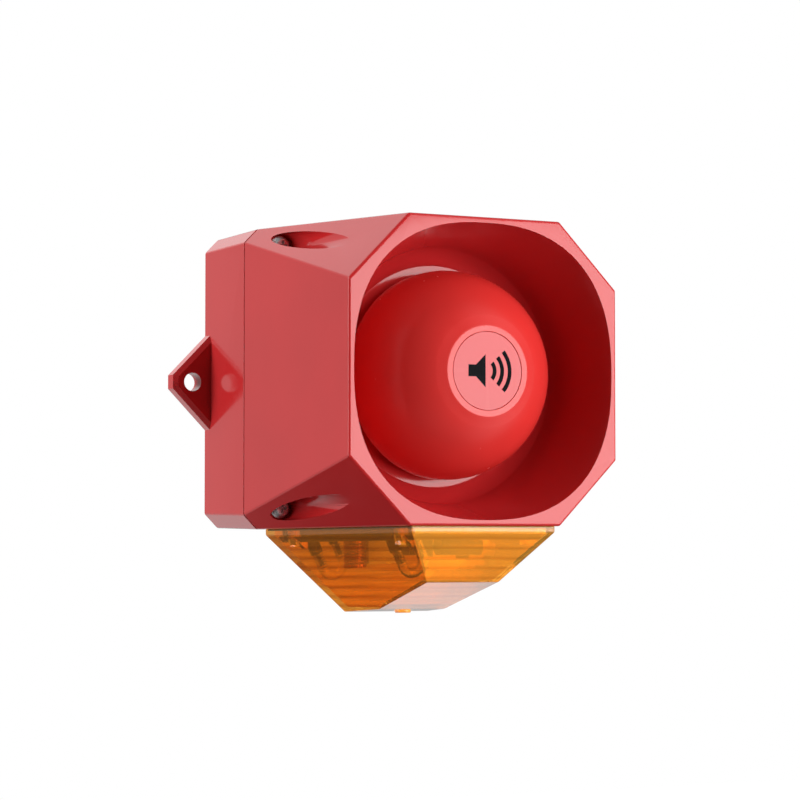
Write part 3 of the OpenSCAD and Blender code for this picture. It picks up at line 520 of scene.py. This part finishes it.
MATERIALS = {
    "red_moulding": gloss_red("red_moulding", (0.57, 0.023, 0.025), 0.11),
    "horn_moulding": gloss_red("horn_moulding", (0.69, 0.032, 0.028), 0.24),
    "badge_face": gloss_red("badge_face", (0.58, 0.026, 0.030), 0.16),
    "black_rubber": finish("black_rubber", (0.018, 0.018, 0.018), 0.62, 900, 0.02, 0.2),
    "black_moulding": finish("black_moulding", (0.022, 0.022, 0.024), 0.42, 1200, 0.02, 0.15),
    "insert_brass": finish("insert_brass", (0.72, 0.48, 0.16), 0.28, 2000, 0.02, 0.1, metallic=1.0),
    "zinc_screws": zinc("zinc_screws", (0.94, 0.94, 0.95), 0.24, 0.6),
    "plain_steel": zinc("plain_steel", (0.50, 0.50, 0.52), 0.3),
    "ferrite": finish("ferrite", (0.055, 0.055, 0.06), 0.5, 1500, 0.03, 0.15, metallic=0.3),
    "phenolic": finish("phenolic", (0.20, 0.085, 0.03), 0.4, 900, 0.01, 0.2),
    "copper_winding": wound("copper_winding", (0.65, 0.25, 0.10), 0.3, "Y"),
    "lead_insulation": finish("lead_insulation", (0.55, 0.02, 0.02), 0.35, 900, 0.01, 0.1),
    "circuit_board": board_green("circuit_board"),
    "terminal_green": finish("terminal_green", (0.04, 0.30, 0.10), 0.38, 1200, 0.01, 0.1),
    "switch_red": finish("switch_red", (0.50, 0.02, 0.02), 0.38, 1200, 0.01, 0.1),
    "lever_white": finish("lever_white", (0.82, 0.82, 0.79), 0.35, 1500, 0.006, 0.05),
    "trimmer_blue": finish("trimmer_blue", (0.03, 0.12, 0.42), 0.36, 1200, 0.01, 0.1),
    "capacitor_sleeve": finish("capacitor_sleeve", (0.025, 0.03, 0.08), 0.22, 900, 0.006, 0.15),
    "film_box": finish("film_box", (0.80, 0.77, 0.66), 0.35, 1000, 0.008, 0.05),
    "chip_black": finish("chip_black", (0.02, 0.02, 0.021), 0.45, 2500, 0.012, 0.15),
    "core_grey": finish("core_grey", (0.10, 0.10, 0.11), 0.45, 1500, 0.02, 0.15, metallic=0.2),
    "winding_tape": finish("winding_tape", (0.72, 0.50, 0.06), 0.3, 600, 0.012, 0.08),
    "amber_lens": amber("amber_lens"),
    "tube_glass": clear_glass("tube_glass", (0.97, 0.98, 1.0), 0.01),
}
BLACK_PRINT = finish("black_print", (0.008, 0.008, 0.009), 0.7, 1500, 0.002, 0.2, shine=0.04)
ELECTRODE = finish("electrode", (0.30, 0.29, 0.28), 0.4, 2500, 0.01, 0.2, metallic=1.0)


def dress(obj, slot, body):
    """Gives a new piece its material and its body."""
    obj.data.materials.clear()
    obj.data.materials.append(MATERIALS[slot])
    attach(obj, body)


# ---------------------------------------------------------------- housing

FLARE_SIDES, FLARE_STEPS = 128, 14


def flare_rings(grow, extra=()):
    """The rings from the bowl, which is round, to the mouth, which is squarer, moved out by grow."""
    rings = []
    for k in range(FLARE_STEPS + 1):
        t = k / FLARE_STEPS
        d = BOWL_DEPTH + (FRONT - BOWL_DEPTH) * t
        half = BOWL_R + grow + (MOUTH_HALF - BOWL_R) * t ** FLARE_EASE
        rings.append((d, half, 2 + (MOUTH_POWER - 2) * t))
    return [[at(x, d, z) for x, z in squircle(half, n, FLARE_SIDES)] for d, half, n in [*rings, *extra]]


def horn_cavity():
    """The open inside of the horn in one solid: bulkhead, fillet, bowl, flare and mouth."""
    line = []
    for a in range(0, 41, 8):
        turn = math.radians(a)
        line.append((FLOOR_R + FLOOR_FILLET * math.sin(turn), FLOOR_FILLET * (1 - math.cos(turn))))
    start, rise = line[-1]
    climb = BOWL_DEPTH - BULKHEAD_FRONT - rise
    for k in range(1, 8):
        t = k / 8
        line.append((start + (BOWL_R - start) * t * (1.35 - 0.35 * t), rise + climb * t ** 1.35))
    bowl = [[at(x, BULKHEAD_FRONT + up, z) for x, z in squircle(r, 2, FLARE_SIDES)] for r, up in line]
    beyond = [(FRONT + 2, MOUTH_HALF + 0.4, MOUTH_POWER)]
    return loft("cavity", bowl + flare_rings(0, beyond))


def horn_outside():
    """The horn's outer skin, inside the housing."""
    back = [[at(x, d, z) for x, z in squircle(r, 2, FLARE_SIDES)]
            for r, d in ((FLOOR_R + 1.4, BULKHEAD_BACK), (BOWL_R + FLARE_WALL - 1.2, BULKHEAD_BACK + 5))]
    return loft("outside", back + flare_rings(FLARE_WALL))


def inner_loft(d1, d2):
    """The room inside the housing's walls."""
    return octagon_loft(
        "room", d1, outer_half(d1) - WALL, outer_cut(d1) - WALL * INSET_CUT,
        d2, outer_half(d2) - WALL, outer_cut(d2) - WALL * INSET_CUT)


def edge_depths(a, b):
    return sorted((-a.y / MM, -b.y / MM))


def housing_edge_share(a, b):
    """How much of the full rounding an edge of the housing gets: most at the front, least at the seam."""
    depths = edge_depths(a, b)
    if depths[0] > FRONT - 0.1:
        return 1.0
    return 0.3 if depths[1] < RIM + 0.1 else 0.65


def box_edge_share(a, b):
    """The same for the back box: its long edges get all of it, and its two rims less."""
    depths = edge_depths(a, b)
    return 1.0 if depths[1] - depths[0] > 1 else 0.4


def make_housing():
    """The red housing with its horn: replaces the two CAD mouldings with one finely rounded surface."""
    body = octagon_loft("housing", RIM, outer_half(RIM), outer_cut(RIM), FRONT, FRONT_HALF, FRONT_CUT)
    rounded(body, 1.15, housing_edge_share, segments=3)
    room = inner_loft(RIM - 1, FRONT - WALL)
    screws = corners(SCREW_XZ)
    keep = [horn_outside()]
    keep += [post(x, z, RECESS_R + RECESS_WALL, RIM - 5, FRONT + 2) for x, z in screws]
    keep += [post(x, z, BOARD_POST_R, BOARD_FRONT, BOWL_DEPTH) for x, z in corners(BOARD_POST)]
    combine(room, keep)
    cuts = [room, horn_cavity()]
    cuts += [post(x, z, RECESS_R, RECESS_FLOOR, FRONT + 5, sides=64) for x, z in screws]
    cuts += [post(x, z, SCREW_HOLE_R, RIM - 1, RECESS_FLOOR + 3) for x, z in screws]
    cuts += [post(x, z, SEAM_POCKET_R, RIM - 1, RIM + SEAM_POCKET) for x, z in screws]
    cuts += [post(0, 0, THROAT_HOLE_R, BULKHEAD_BACK - 1, BULKHEAD_BACK + 5)]
    combine(body, cuts)
    rounded(body, 0.35, segments=2, angle=38)
    smooth(body)
    dress(body, "red_moulding", "cover")
    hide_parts("front_housing", "horn_flare")


def knock_outs():
    """Thin ring grooves in the back of the box, where a rear entry or a spare fixing can be cut out."""
    rings = []
    for x, z, r in [(0, 0, ENTRY_R)] + [(x, z, SPARE_R) for x, z in corners(SPARE_XZ)]:
        ring = post(x, z, r + RING_HALF, BACK - 1, RING_DEPTH, sides=64)
        rings.append(combine(ring, [post(x, z, r - RING_HALF, BACK - 2, 2, sides=64)]))
    return rings


def add_lug(body, side):
    """Joins a lug with its screw hole to the box: side is -1 for the left one, 1 for the right."""
    rings = []
    sections = ((BACK, 0.25), (0.3, 0), (LUG_THICK - LUG_CHAMFER, 0), (LUG_THICK, LUG_CHAMFER_INSET))
    for d, inset in sections:
        tip, half = LUG_TIP - inset, LUG_TIP_HALF - inset * (math.sqrt(2) - 1)
        run = tip - LUG_ROOT - LUG_STRAIGHT
        root = LUG_ROOT + LUG_STRAIGHT
        ring = [(root, half + run), (tip, half), (tip, -half), (root, -half - run)]
        rings.append([at(side * x, d, z) for x, z in ring])
    lug = loft("lug", rings)
    combine(lug, [post(side * LUG_HOLE_X, 0, LUG_HOLE_R, -1, LUG_THICK + 1)])
    combine(body, [lug], "UNION")


def add_entry(body, side):
    """Joins a boss to the box and bores a cable entry through it: side is -1 below and 1 above."""
    boss = upright(0, -ENTRY_DEPTH, BOSS_R, side * (BOX_HALF - 5), side * (BOX_HALF - 0.02))
    combine(body, [boss], "UNION")
    bore = upright(0, -ENTRY_DEPTH, ENTRY_R, side * (BOX_HALF - 12), side * (BOX_HALF + 5), sides=64)
    face = upright(0, -ENTRY_DEPTH, BOSS_FACE_R, side * BOX_HALF, side * (BOX_HALF + 4), sides=64)
    combine(body, [bore, face])


def make_back_box():
    """The box against the wall, with its two lugs."""
    body = octagon_loft("wall_box_shell", BACK, BOX_HALF, SEAM_CUT, BOX_DEPTH, SEAM_HALF, SEAM_CUT)
    rounded(body, 0.8, box_edge_share, segments=3)
    combine(body, [octagon_loft(
        "room", WALL, BOX_HALF - WALL, SEAM_CUT - WALL * INSET_CUT,
        BOX_DEPTH + 1, SEAM_HALF - WALL, SEAM_CUT - WALL * INSET_CUT)])
    for side in (-1, 1):
        add_lug(body, side)
    posts = [post(x, z, CORNER_POST_R, WALL - 1, BOX_DEPTH - 1) for x, z in corners(SCREW_XZ)]
    shaper = octagon_loft(
        "shaper", 0.5, BOX_HALF - 0.6, SEAM_CUT, BOX_DEPTH - 0.5, SEAM_HALF - 0.6, SEAM_CUT)
    for p in posts:
        meet(p, shaper)
    bpy.data.objects.remove(shaper)
    combine(body, posts, "UNION")
    ring = octagon_prism("rim", BOX_DEPTH - 4, BOX_DEPTH - 0.6, SEAM_HALF - 1, SEAM_CUT - 0.5)
    combine(ring, [octagon_prism(
        "hole", BOX_DEPTH - 5, BOX_DEPTH + 1, SEAM_HALF - RIM_WIDTH, SEAM_CUT - RIM_WIDTH * INSET_CUT)])
    combine(body, [ring], "UNION")
    for side in (-1, 1):
        add_entry(body, side)
    holes = [post(x, z, INSERT_HOLE_R, 32, BOX_DEPTH + 1) for x, z in corners(SCREW_XZ)]
    holes += [post(x, z, TIP_HOLE_R, 28, 34) for x, z in corners(SCREW_XZ)]
    groove = octagon_prism("groove", BOX_DEPTH - 2, BOX_DEPTH + 2, SEAM_HALF - GROOVE_OUT, SEAM_CUT - 1)
    combine(groove, [octagon_prism(
        "hole", BOX_DEPTH - 3, BOX_DEPTH + 3, SEAM_HALF - GROOVE_IN, SEAM_CUT - 2.3)])
    combine(body, holes + [groove] + knock_outs())
    rounded(body, 0.3, segments=2, angle=38)
    smooth(body)
    dress(body, "red_moulding", "wall_box")
    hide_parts("back_box")


def make_dome():
    """The dome in the horn's mouth, with its legs and the hollow in its face for the badge."""
    outer = []
    steps = 48
    fall = math.tan(math.radians(CREASE_ANGLE)) * (DOME_R - CREASE_R) / (CREASE_DEPTH - DOME_WIDE)
    start = fall / (1 - fall)
    across = (DOME_R - CREASE_R) / (1 - start)
    deep = (CREASE_DEPTH - DOME_WIDE) / math.sqrt(1 - start ** 2)
    for k in range(steps + 1):
        a = math.acos(start) * (1 - k / steps)
        outer.append((DOME_R - across * (1 - math.cos(a)), DOME_WIDE + deep * math.sin(a)))
    inner = [(r - DOME_WALL, d - DOME_WALL * (d - DOME_WIDE) / (CREASE_DEPTH - DOME_WIDE)) for r, d in outer]
    seat = FACE_DEPTH - BADGE_H
    face = [(0, seat), (BADGE_R + 0.15, seat), (BADGE_R + 0.15, FACE_DEPTH - 0.12),
            (BADGE_R + 0.27, FACE_DEPTH)]
    shoulder = []
    for k in range(7):
        a = math.radians(SHOULDER_TURN * k / 6)
        shoulder.append((FACE_R - 0.4 + SHOULDER_R * math.sin(a),
                         FACE_DEPTH - SHOULDER_R * (1 - math.cos(a))))
    shoulder.append((CREASE_R - 0.4, CREASE_DEPTH + 0.17))
    rim = [(DOME_R - 0.05, DOME_RIM + 0.9), (DOME_R - 0.35, DOME_RIM + 0.25), (DOME_R - 0.9, DOME_RIM),
           (DOME_R - DOME_WALL + 0.3, DOME_RIM), (DOME_R - DOME_WALL, DOME_RIM + 0.3)]
    back = [(FACE_R, FACE_DEPTH - 4), (12, FACE_DEPTH - 4.4), (8, FACE_DEPTH - 6.6),
            (3, FACE_DEPTH - 12.5), (0, FACE_DEPTH - 16)]
    dome = revolve("dome_shell", face + shoulder + outer + rim + inner[::-1] + back, 192)
    base = [(0, BULKHEAD_FRONT - 1), (DOME_R - LEG_MARGIN, BULKHEAD_FRONT - 1)]
    skin = [(r - LEG_MARGIN, d - LEG_MARGIN) for r, d in outer[::-1]]
    shaper = revolve("shaper", base + skin + [(0, CREASE_DEPTH - LEG_MARGIN)], 96)
    for x, z in corners(DOME_LEG):
        leg = post(x, z, LEG_R, BULKHEAD_FRONT, LEG_TOP, sides=32)
        meet(leg, shaper)
        combine(dome, [leg], "UNION")
    bpy.data.objects.remove(shaper)
    smooth(dome, 40)
    dress(dome, "horn_moulding", "cover")
    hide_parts("horn_dome")


def make_badge():
    """The disc in the dome's face, and the loudspeaker symbol printed on it."""
    seat, top = FACE_DEPTH - BADGE_H, FACE_DEPTH - BADGE_SUNK
    badge = revolve("badge_disc", [
        (0, seat), (BADGE_R, seat), (BADGE_R, top - 0.15), (BADGE_R - 0.15, top), (0, top)], 160)
    smooth(badge, 50)
    dress(badge, "badge_face", "cover")
    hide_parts("dome_badge")
    low, high = top - 0.2, FACE_DEPTH - 0.01
    marks = [loft("symbol_speaker", [[at(x, d, z) for x, z in SPEAKER] for d in (low, high)])]
    for i, r in enumerate(ARC_RADII):
        line = []
        for q in (r - ARC_HALF, r + ARC_HALF):
            for a in range(-ARC_TURN, ARC_TURN + 1, 4):
                turn = math.radians(a if q < r else -a)
                line.append((q * math.cos(turn) - ARC_SHIFT, q * math.sin(turn)))
        marks.append(loft(f"symbol_wave_{i + 1}", [[at(x, d, z) for x, z in line] for d in (low, high)]))
    for mark in marks:
        smooth(mark, 30)
        mark.data.materials.append(BLACK_PRINT)
        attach(mark, "cover")


# ---------------------------------------------------------------- beacon


def lens_half(y, z):
    """Half the lens's width at a place in the beacon's frame."""
    return LENS_FRONT_HALF + LENS_TAPER * (y - LENS_FRONT_Y) + LENS_SLOPE * min(0, z + FLANGE)


# Lines of the lens in the beacon's frame, as (y, z): its outside, and its hollow's front and back
LENS_OUTSIDE = [(LENS_FRONT_Y, 0), (LENS_FRONT_Y, -FLANGE), (20.5, -24.4), (67.4, -36.6), (91.5, -37.8),
                (97, -FLANGE), (97, 0)]
HOLLOW_FRONT = [(5.2, 1), (5.2, -FLANGE), (21.9, -21.9), (67.6, -34.0)]
HOLLOW_BACK = [(94.3, 1), (94.3, -FLANGE), (89.2, -35.1)]
LENS_SIDE_WALL = 3.8
LENS_SCREWS = [(s * (lens_half(16, 0) - 8.2), 16) for s in (-1, 1)]
LENS_SCREWS += [(s * (lens_half(86, 0) - 9.2), 86) for s in (-1, 1)]
LENS_BOSS_R, LENS_PILOT_R, NUB_R = 4.4, 1.25, 3.7


def in_beacon(x, y, z):
    """A point given in mm in the beacon's frame, in metres in the shared frame."""
    return BEACON @ Vector((x * MM, y * MM, z * MM))


def lens_section(z, front, back, narrow):
    """A level cut through the lens: the trapezoid between its front, back and sloping sides."""
    f, b = lens_half(front, z) - narrow, lens_half(back, z) - narrow
    return [in_beacon(-f, front, z), in_beacon(f, front, z), in_beacon(b, back, z), in_beacon(-b, back, z)]


def between(z, line):
    """The y at a height on a line of (y, z) that goes down."""
    for (y1, z1), (y2, z2) in zip(line, line[1:]):
        if z1 >= z >= z2:
            return y1 + (y2 - y1) * (z1 - z) / (z1 - z2)
    return line[-1][0]


def make_lens():
    """The amber lens: polished outside, with level prism steps inside."""
    right = [in_beacon(lens_half(y, z), y, z) for y, z in LENS_OUTSIDE]
    left = [in_beacon(-lens_half(y, z), y, z) for y, z in LENS_OUTSIDE]
    faces = [[0, 6, 5, 1], [1, 5, 4, 3, 2], [7, 8, 12, 13], [8, 9, 10, 11, 12]]
    faces += [[i, (i + 1) % 7, 7 + (i + 1) % 7, 7 + i] for i in range(7)]
    lens = piece("lens_shell", right + left, faces)
    rounded(lens, 0.45, segments=3, angle=5)
    rings = []
    levels = [(1.0, 0), (-FLANGE, 0)]
    z = -5.0
    while z > -33.5:
        levels += [(z, 0.5), (z - 0.25, 0.0)]
        z -= LENS_RIB
    levels.append((-34.6, 0.35))
    for z, tooth in levels:
        y1, y2 = between(z, HOLLOW_FRONT), between(z, HOLLOW_BACK)
        rings.append(lens_section(z, y1 + tooth * 0.6, y2 - tooth * 0.5, LENS_SIDE_WALL + tooth))
    combine(lens, [loft("hollow", rings)])
    bosses = [upright(x, y, LENS_BOSS_R, -8, -0.05, BEACON) for x, y in LENS_SCREWS]
    nub = upright(0, 76, NUB_R, -38.3, -36.4, BEACON, 64)
    rounded(nub, 0.5, segments=3)
    combine(lens, bosses + [nub], "UNION")
    combine(lens, [upright(x, y, LENS_PILOT_R, -7, 1, BEACON) for x, y in LENS_SCREWS])
    smooth(lens, 25)
    dress(lens, "amber_lens", "cover")
    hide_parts("beacon_lens")


def lip_block(name, top, foot, inset):
    """A solid that fills the lens's hollow between two heights, but for an inset all round."""
    return loft(name, [
        lens_section(z, between(z, HOLLOW_FRONT) + inset, between(z, HOLLOW_BACK) - inset,
                     LENS_SIDE_WALL + inset)
        for z in (top, foot)])


def make_seal_lip_shade():
    """A thin black rubber lip inside the lens under its flange: a dark piece that shows through the lens as
    a band of painted shade, standing for the dark band that refraction makes at the flange.
    """
    # Painted shade: this dark lip stands in for the shade that refraction makes under the flange.
    lip = lip_block("beacon_seal_shade_lip", -2.9, -5.0, 0.7)
    combine(lip, [lip_block("lip_inside", -2.5, -6.0, 1.9)])
    combine(lip, [upright(x, y, 4.6, -9, 1, BEACON) for x, y in LENS_SCREWS])
    dress(lip, "black_rubber", "cover")


def make_flash_tubes():
    """Two glass hairpins with electrodes and trigger wires."""
    glass, metal = [], []
    tilt = Matrix.Rotation(math.radians(-TUBE_TILT), 4, "Y")
    leg = (-SOCKET, -8.0, -11.0, -TUBE_LENGTH)
    coil = TUBE_R + 0.1
    for x, y in TUBES:
        place = BEACON @ Matrix.Translation((x * MM, y * MM, PARTS_Z * MM)) @ tilt
        line = [Vector((-TUBE_BEND, 0, z)) for z in leg]
        for a in range(12, 180, 12):
            turn = math.radians(a)
            line.append(Vector((-TUBE_BEND * math.cos(turn), 0, -TUBE_LENGTH - TUBE_BEND * math.sin(turn))))
        line += [Vector((TUBE_BEND, 0, z)) for z in reversed(leg)]
        path = [place @ (p * MM) for p in line]
        glass.append(sweep("glass", path, TUBE_R, 32))
        for s in (-1, 1):
            rod = [place @ Vector((s * TUBE_BEND * MM, 0, z * MM)) for z in (-SOCKET - 0.2, -7.2, -10.2)]
            metal.append(sweep("rod", rod, ELECTRODE_R, 16))
            turns = []
            for i in range(0, 91):
                a = i * math.radians(24)
                turns.append(place @ Vector((
                    (s * TUBE_BEND + coil * math.cos(a)) * MM, coil * math.sin(a) * MM,
                    (-SOCKET - 0.5 - i * WIRE_PITCH) * MM)))
            metal.append(sweep("turns", turns, WIRE_R, 8))
    tubes = join(glass, "flash_tube_glass")
    smooth(tubes, 60)
    dress(tubes, "tube_glass", "cover")
    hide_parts("flash_tubes")
    wires = join(metal, "flash_tube_electrodes")
    smooth(wires, 60)
    wires.data.materials.clear()
    wires.data.materials.append(ELECTRODE)
    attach(wires, "cover")


def join(objs, name):
    """One object from several."""
    bm = bmesh.new()
    for o in objs:
        bm.from_mesh(o.data)
        bpy.data.objects.remove(o)
    mesh = bpy.data.meshes.new(name)
    bm.to_mesh(mesh)
    bm.free()
    obj = bpy.data.objects.new(name, mesh)
    scene.collection.objects.link(obj)
    return obj


# ---------------------------------------------------------------- CAD nodes that stay


def dress_cad(replaced):
    """Rounds the edges of the CAD nodes that stay, and gives them their materials."""
    slots = {s["node"]: s["material_slot"] for s in frame["record"]["subparts"]}
    for node, obj in frame["nodes"].items():
        obj.data.materials.clear()
        obj.data.materials.append(MATERIALS[slots[node]])
        if node in replaced:
            continue
        weld = obj.modifiers.new("weld", "WELD")
        weld.merge_threshold = 1e-6
        flat = obj.modifiers.new("flat", "DECIMATE")
        flat.decimate_type = "DISSOLVE"
        flat.angle_limit = math.radians(0.5)
        edge = obj.modifiers.new("round", "BEVEL")
        edge.width = 0.12 * MM
        edge.segments = 2
        edge.limit_method = "ANGLE"
        edge.angle_limit = math.radians(35)
        for p in obj.data.polygons:
            p.use_smooth = True
        normals = obj.modifiers.new("normals", "WEIGHTED_NORMAL")
        normals.weight = 80


# ---------------------------------------------------------------- scene


CAMERA_YAW, CAMERA_PITCH, CAMERA_LENS = 28.65, 2.91, 129
CAMERA_AT = (-0.6312, -1.2221, -0.0761)
LIT_POINT = (0, -0.09, 0)
FLOOR_HALF, FLOOR_Z = 2.2, -0.42

# Name, azimuth, elevation, distance, width, height, radiance, and what it is for
LIGHTS = [
    ("key_box", 28, 4, 1.6, 1.52, 1.48, 4.9, "lamp"),
    ("key_card", 28, -1, 1.6, 1.52, 0.63, 4.9, "reflector"),
    ("left_fill", -102, 14, 1.6, 0.95, 2.3, 3.7, "both"),
]


def make_camera():
    yaw, pitch = math.radians(CAMERA_YAW), math.radians(CAMERA_PITCH)
    forward = Vector((math.sin(yaw) * math.cos(pitch), math.cos(yaw) * math.cos(pitch), math.sin(pitch)))
    right = Vector((math.cos(yaw), -math.sin(yaw), 0))
    up = right.cross(forward)
    data = bpy.data.cameras.new("camera")
    data.sensor_width = 36
    data.lens = CAMERA_LENS
    cam = bpy.data.objects.new("camera", data)
    scene.collection.objects.link(cam)
    turn = Matrix((right, up, -forward)).transposed().to_4x4()
    cam.matrix_world = Matrix.Translation(CAMERA_AT) @ turn
    scene.camera = cam


def soft_box(name, azimuth, elevation, distance, width, height, radiance, how):
    """An area light aimed at the object; azimuth 0 is in front, and grows to the viewer's right.

    A "lamp" lights the object but is not mirrored in it, a "reflector" is only mirrored, and
    "both" does both.
    """
    a, e = math.radians(azimuth), math.radians(elevation)
    direction = Vector((math.sin(a) * math.cos(e), -math.cos(a) * math.cos(e), math.sin(e)))
    data = bpy.data.lights.new(name, "AREA")
    data.shape = "RECTANGLE"
    data.size, data.size_y = width, height
    data.energy = radiance * math.pi * width * height
    obj = bpy.data.objects.new(name, data)
    scene.collection.objects.link(obj)
    obj.location = Vector(LIT_POINT) + direction * distance
    obj.rotation_mode = "QUATERNION"
    obj.rotation_quaternion = (-direction).to_track_quat("-Z", "Y")
    obj.visible_camera = False
    obj.visible_diffuse = how != "reflector"
    obj.visible_glossy = how != "lamp"


def make_world():
    """A pale studio: white behind and above, dimmer in front of the object and below it."""
    world = bpy.data.worlds.new("studio")
    scene.world = world
    world.use_nodes = True
    nodes, links = world.node_tree.nodes, world.node_tree.links
    background = nodes["Background"]
    coord = nodes.new("ShaderNodeTexCoord")
    parts = nodes.new("ShaderNodeSeparateXYZ")
    links.new(coord.outputs["Generated"], parts.inputs["Vector"])

    def part(axis, low, high, start, end):
        return spread(nodes, links, parts.outputs[axis], low, high, start, end)

    def join_values(how, a, b):
        node = nodes.new("ShaderNodeMath")
        node.operation = how
        links.new(a, node.inputs[0])
        links.new(b, node.inputs[1])
        return node.outputs["Value"]

    toward_right = part("X", 0.05, 0.9, 0.1, 0.7)
    front = join_values("MAXIMUM", toward_right, part("Z", 0.16, 0.0, -0.7, -0.3))
    from_left = part("X", 0.54, 1.0, -0.42, -0.12)
    behind = join_values("MULTIPLY", from_left, part("Z", 0.03, 1.0, -0.66, -0.52))
    behind = join_values("MULTIPLY", behind, part("Z", 1.0, 1.35, 0.30, 0.45))
    right_fade = part("X", 1.0, 0.45, 0.15, 0.4)
    right = join_values("MAXIMUM", right_fade, part("Z", 1.0, 0.0, -0.35, -0.15))
    behind = join_values("MULTIPLY", behind, right)
    front = join_values("MULTIPLY", front, part("Y", 1.0, 0.0, -0.55, -0.2))
    behind = join_values("MULTIPLY", behind, part("Y", 0.0, 1.0, -0.15, 0.35))
    radiance = join_values("ADD", front, behind)
    path = nodes.new("ShaderNodeLightPath")
    seen = nodes.new("ShaderNodeMath")
    seen.operation = "MAXIMUM"
    links.new(radiance, seen.inputs[0])
    links.new(path.outputs["Is Camera Ray"], seen.inputs[1])
    links.new(seen.outputs["Value"], background.inputs["Strength"])
    background.inputs["Color"].default_value = (1, 1, 1, 1)


def make_floor():
    """A pale floor under the object that is clear from below."""
    m, nodes, links, bsdf = shader("pale_floor")
    patches = noise(nodes, links, 3, 2)
    pale = tint(nodes, links, patches, (0.95, 0.95, 0.95), (0.97, 0.97, 0.97))
    links.new(pale, bsdf.inputs["Base Color"])
    bsdf.inputs["Roughness"].default_value = 0.9
    bsdf.inputs["Emission Color"].default_value = (1, 1, 1, 1)
    bsdf.inputs["Emission Strength"].default_value = 1.0
    clear = nodes.new("ShaderNodeBsdfTransparent")
    side = nodes.new("ShaderNodeNewGeometry")
    mix = nodes.new("ShaderNodeMixShader")
    links.new(side.outputs["Backfacing"], mix.inputs[0])
    links.new(bsdf.outputs["BSDF"], mix.inputs[1])
    links.new(clear.outputs["BSDF"], mix.inputs[2])
    links.new(mix.outputs["Shader"], nodes["Material Output"].inputs["Surface"])
    square = ((-1, -1), (1, -1), (1, 1), (-1, 1))
    corner_points = [Vector((x * FLOOR_HALF, y * FLOOR_HALF, FLOOR_Z)) for x, y in square]
    floor = piece("floor", corner_points, [[0, 1, 2, 3]])
    if floor.data.polygons[0].normal.z < 0:
        floor.data.flip_normals()
    floor.data.materials.append(m)
    floor.visible_diffuse = False
    floor.visible_glossy = False
    floor.visible_transmission = False
    floor.visible_shadow = False


make_camera()
for light in LIGHTS:
    soft_box(*light)
make_world()
make_floor()
make_housing()
make_back_box()
make_dome()
make_badge()
make_lens()
make_seal_lip_shade()
make_flash_tubes()
dress_cad({
    "front_housing", "horn_flare", "back_box", "horn_dome", "dome_badge", "beacon_lens", "flash_tubes"})
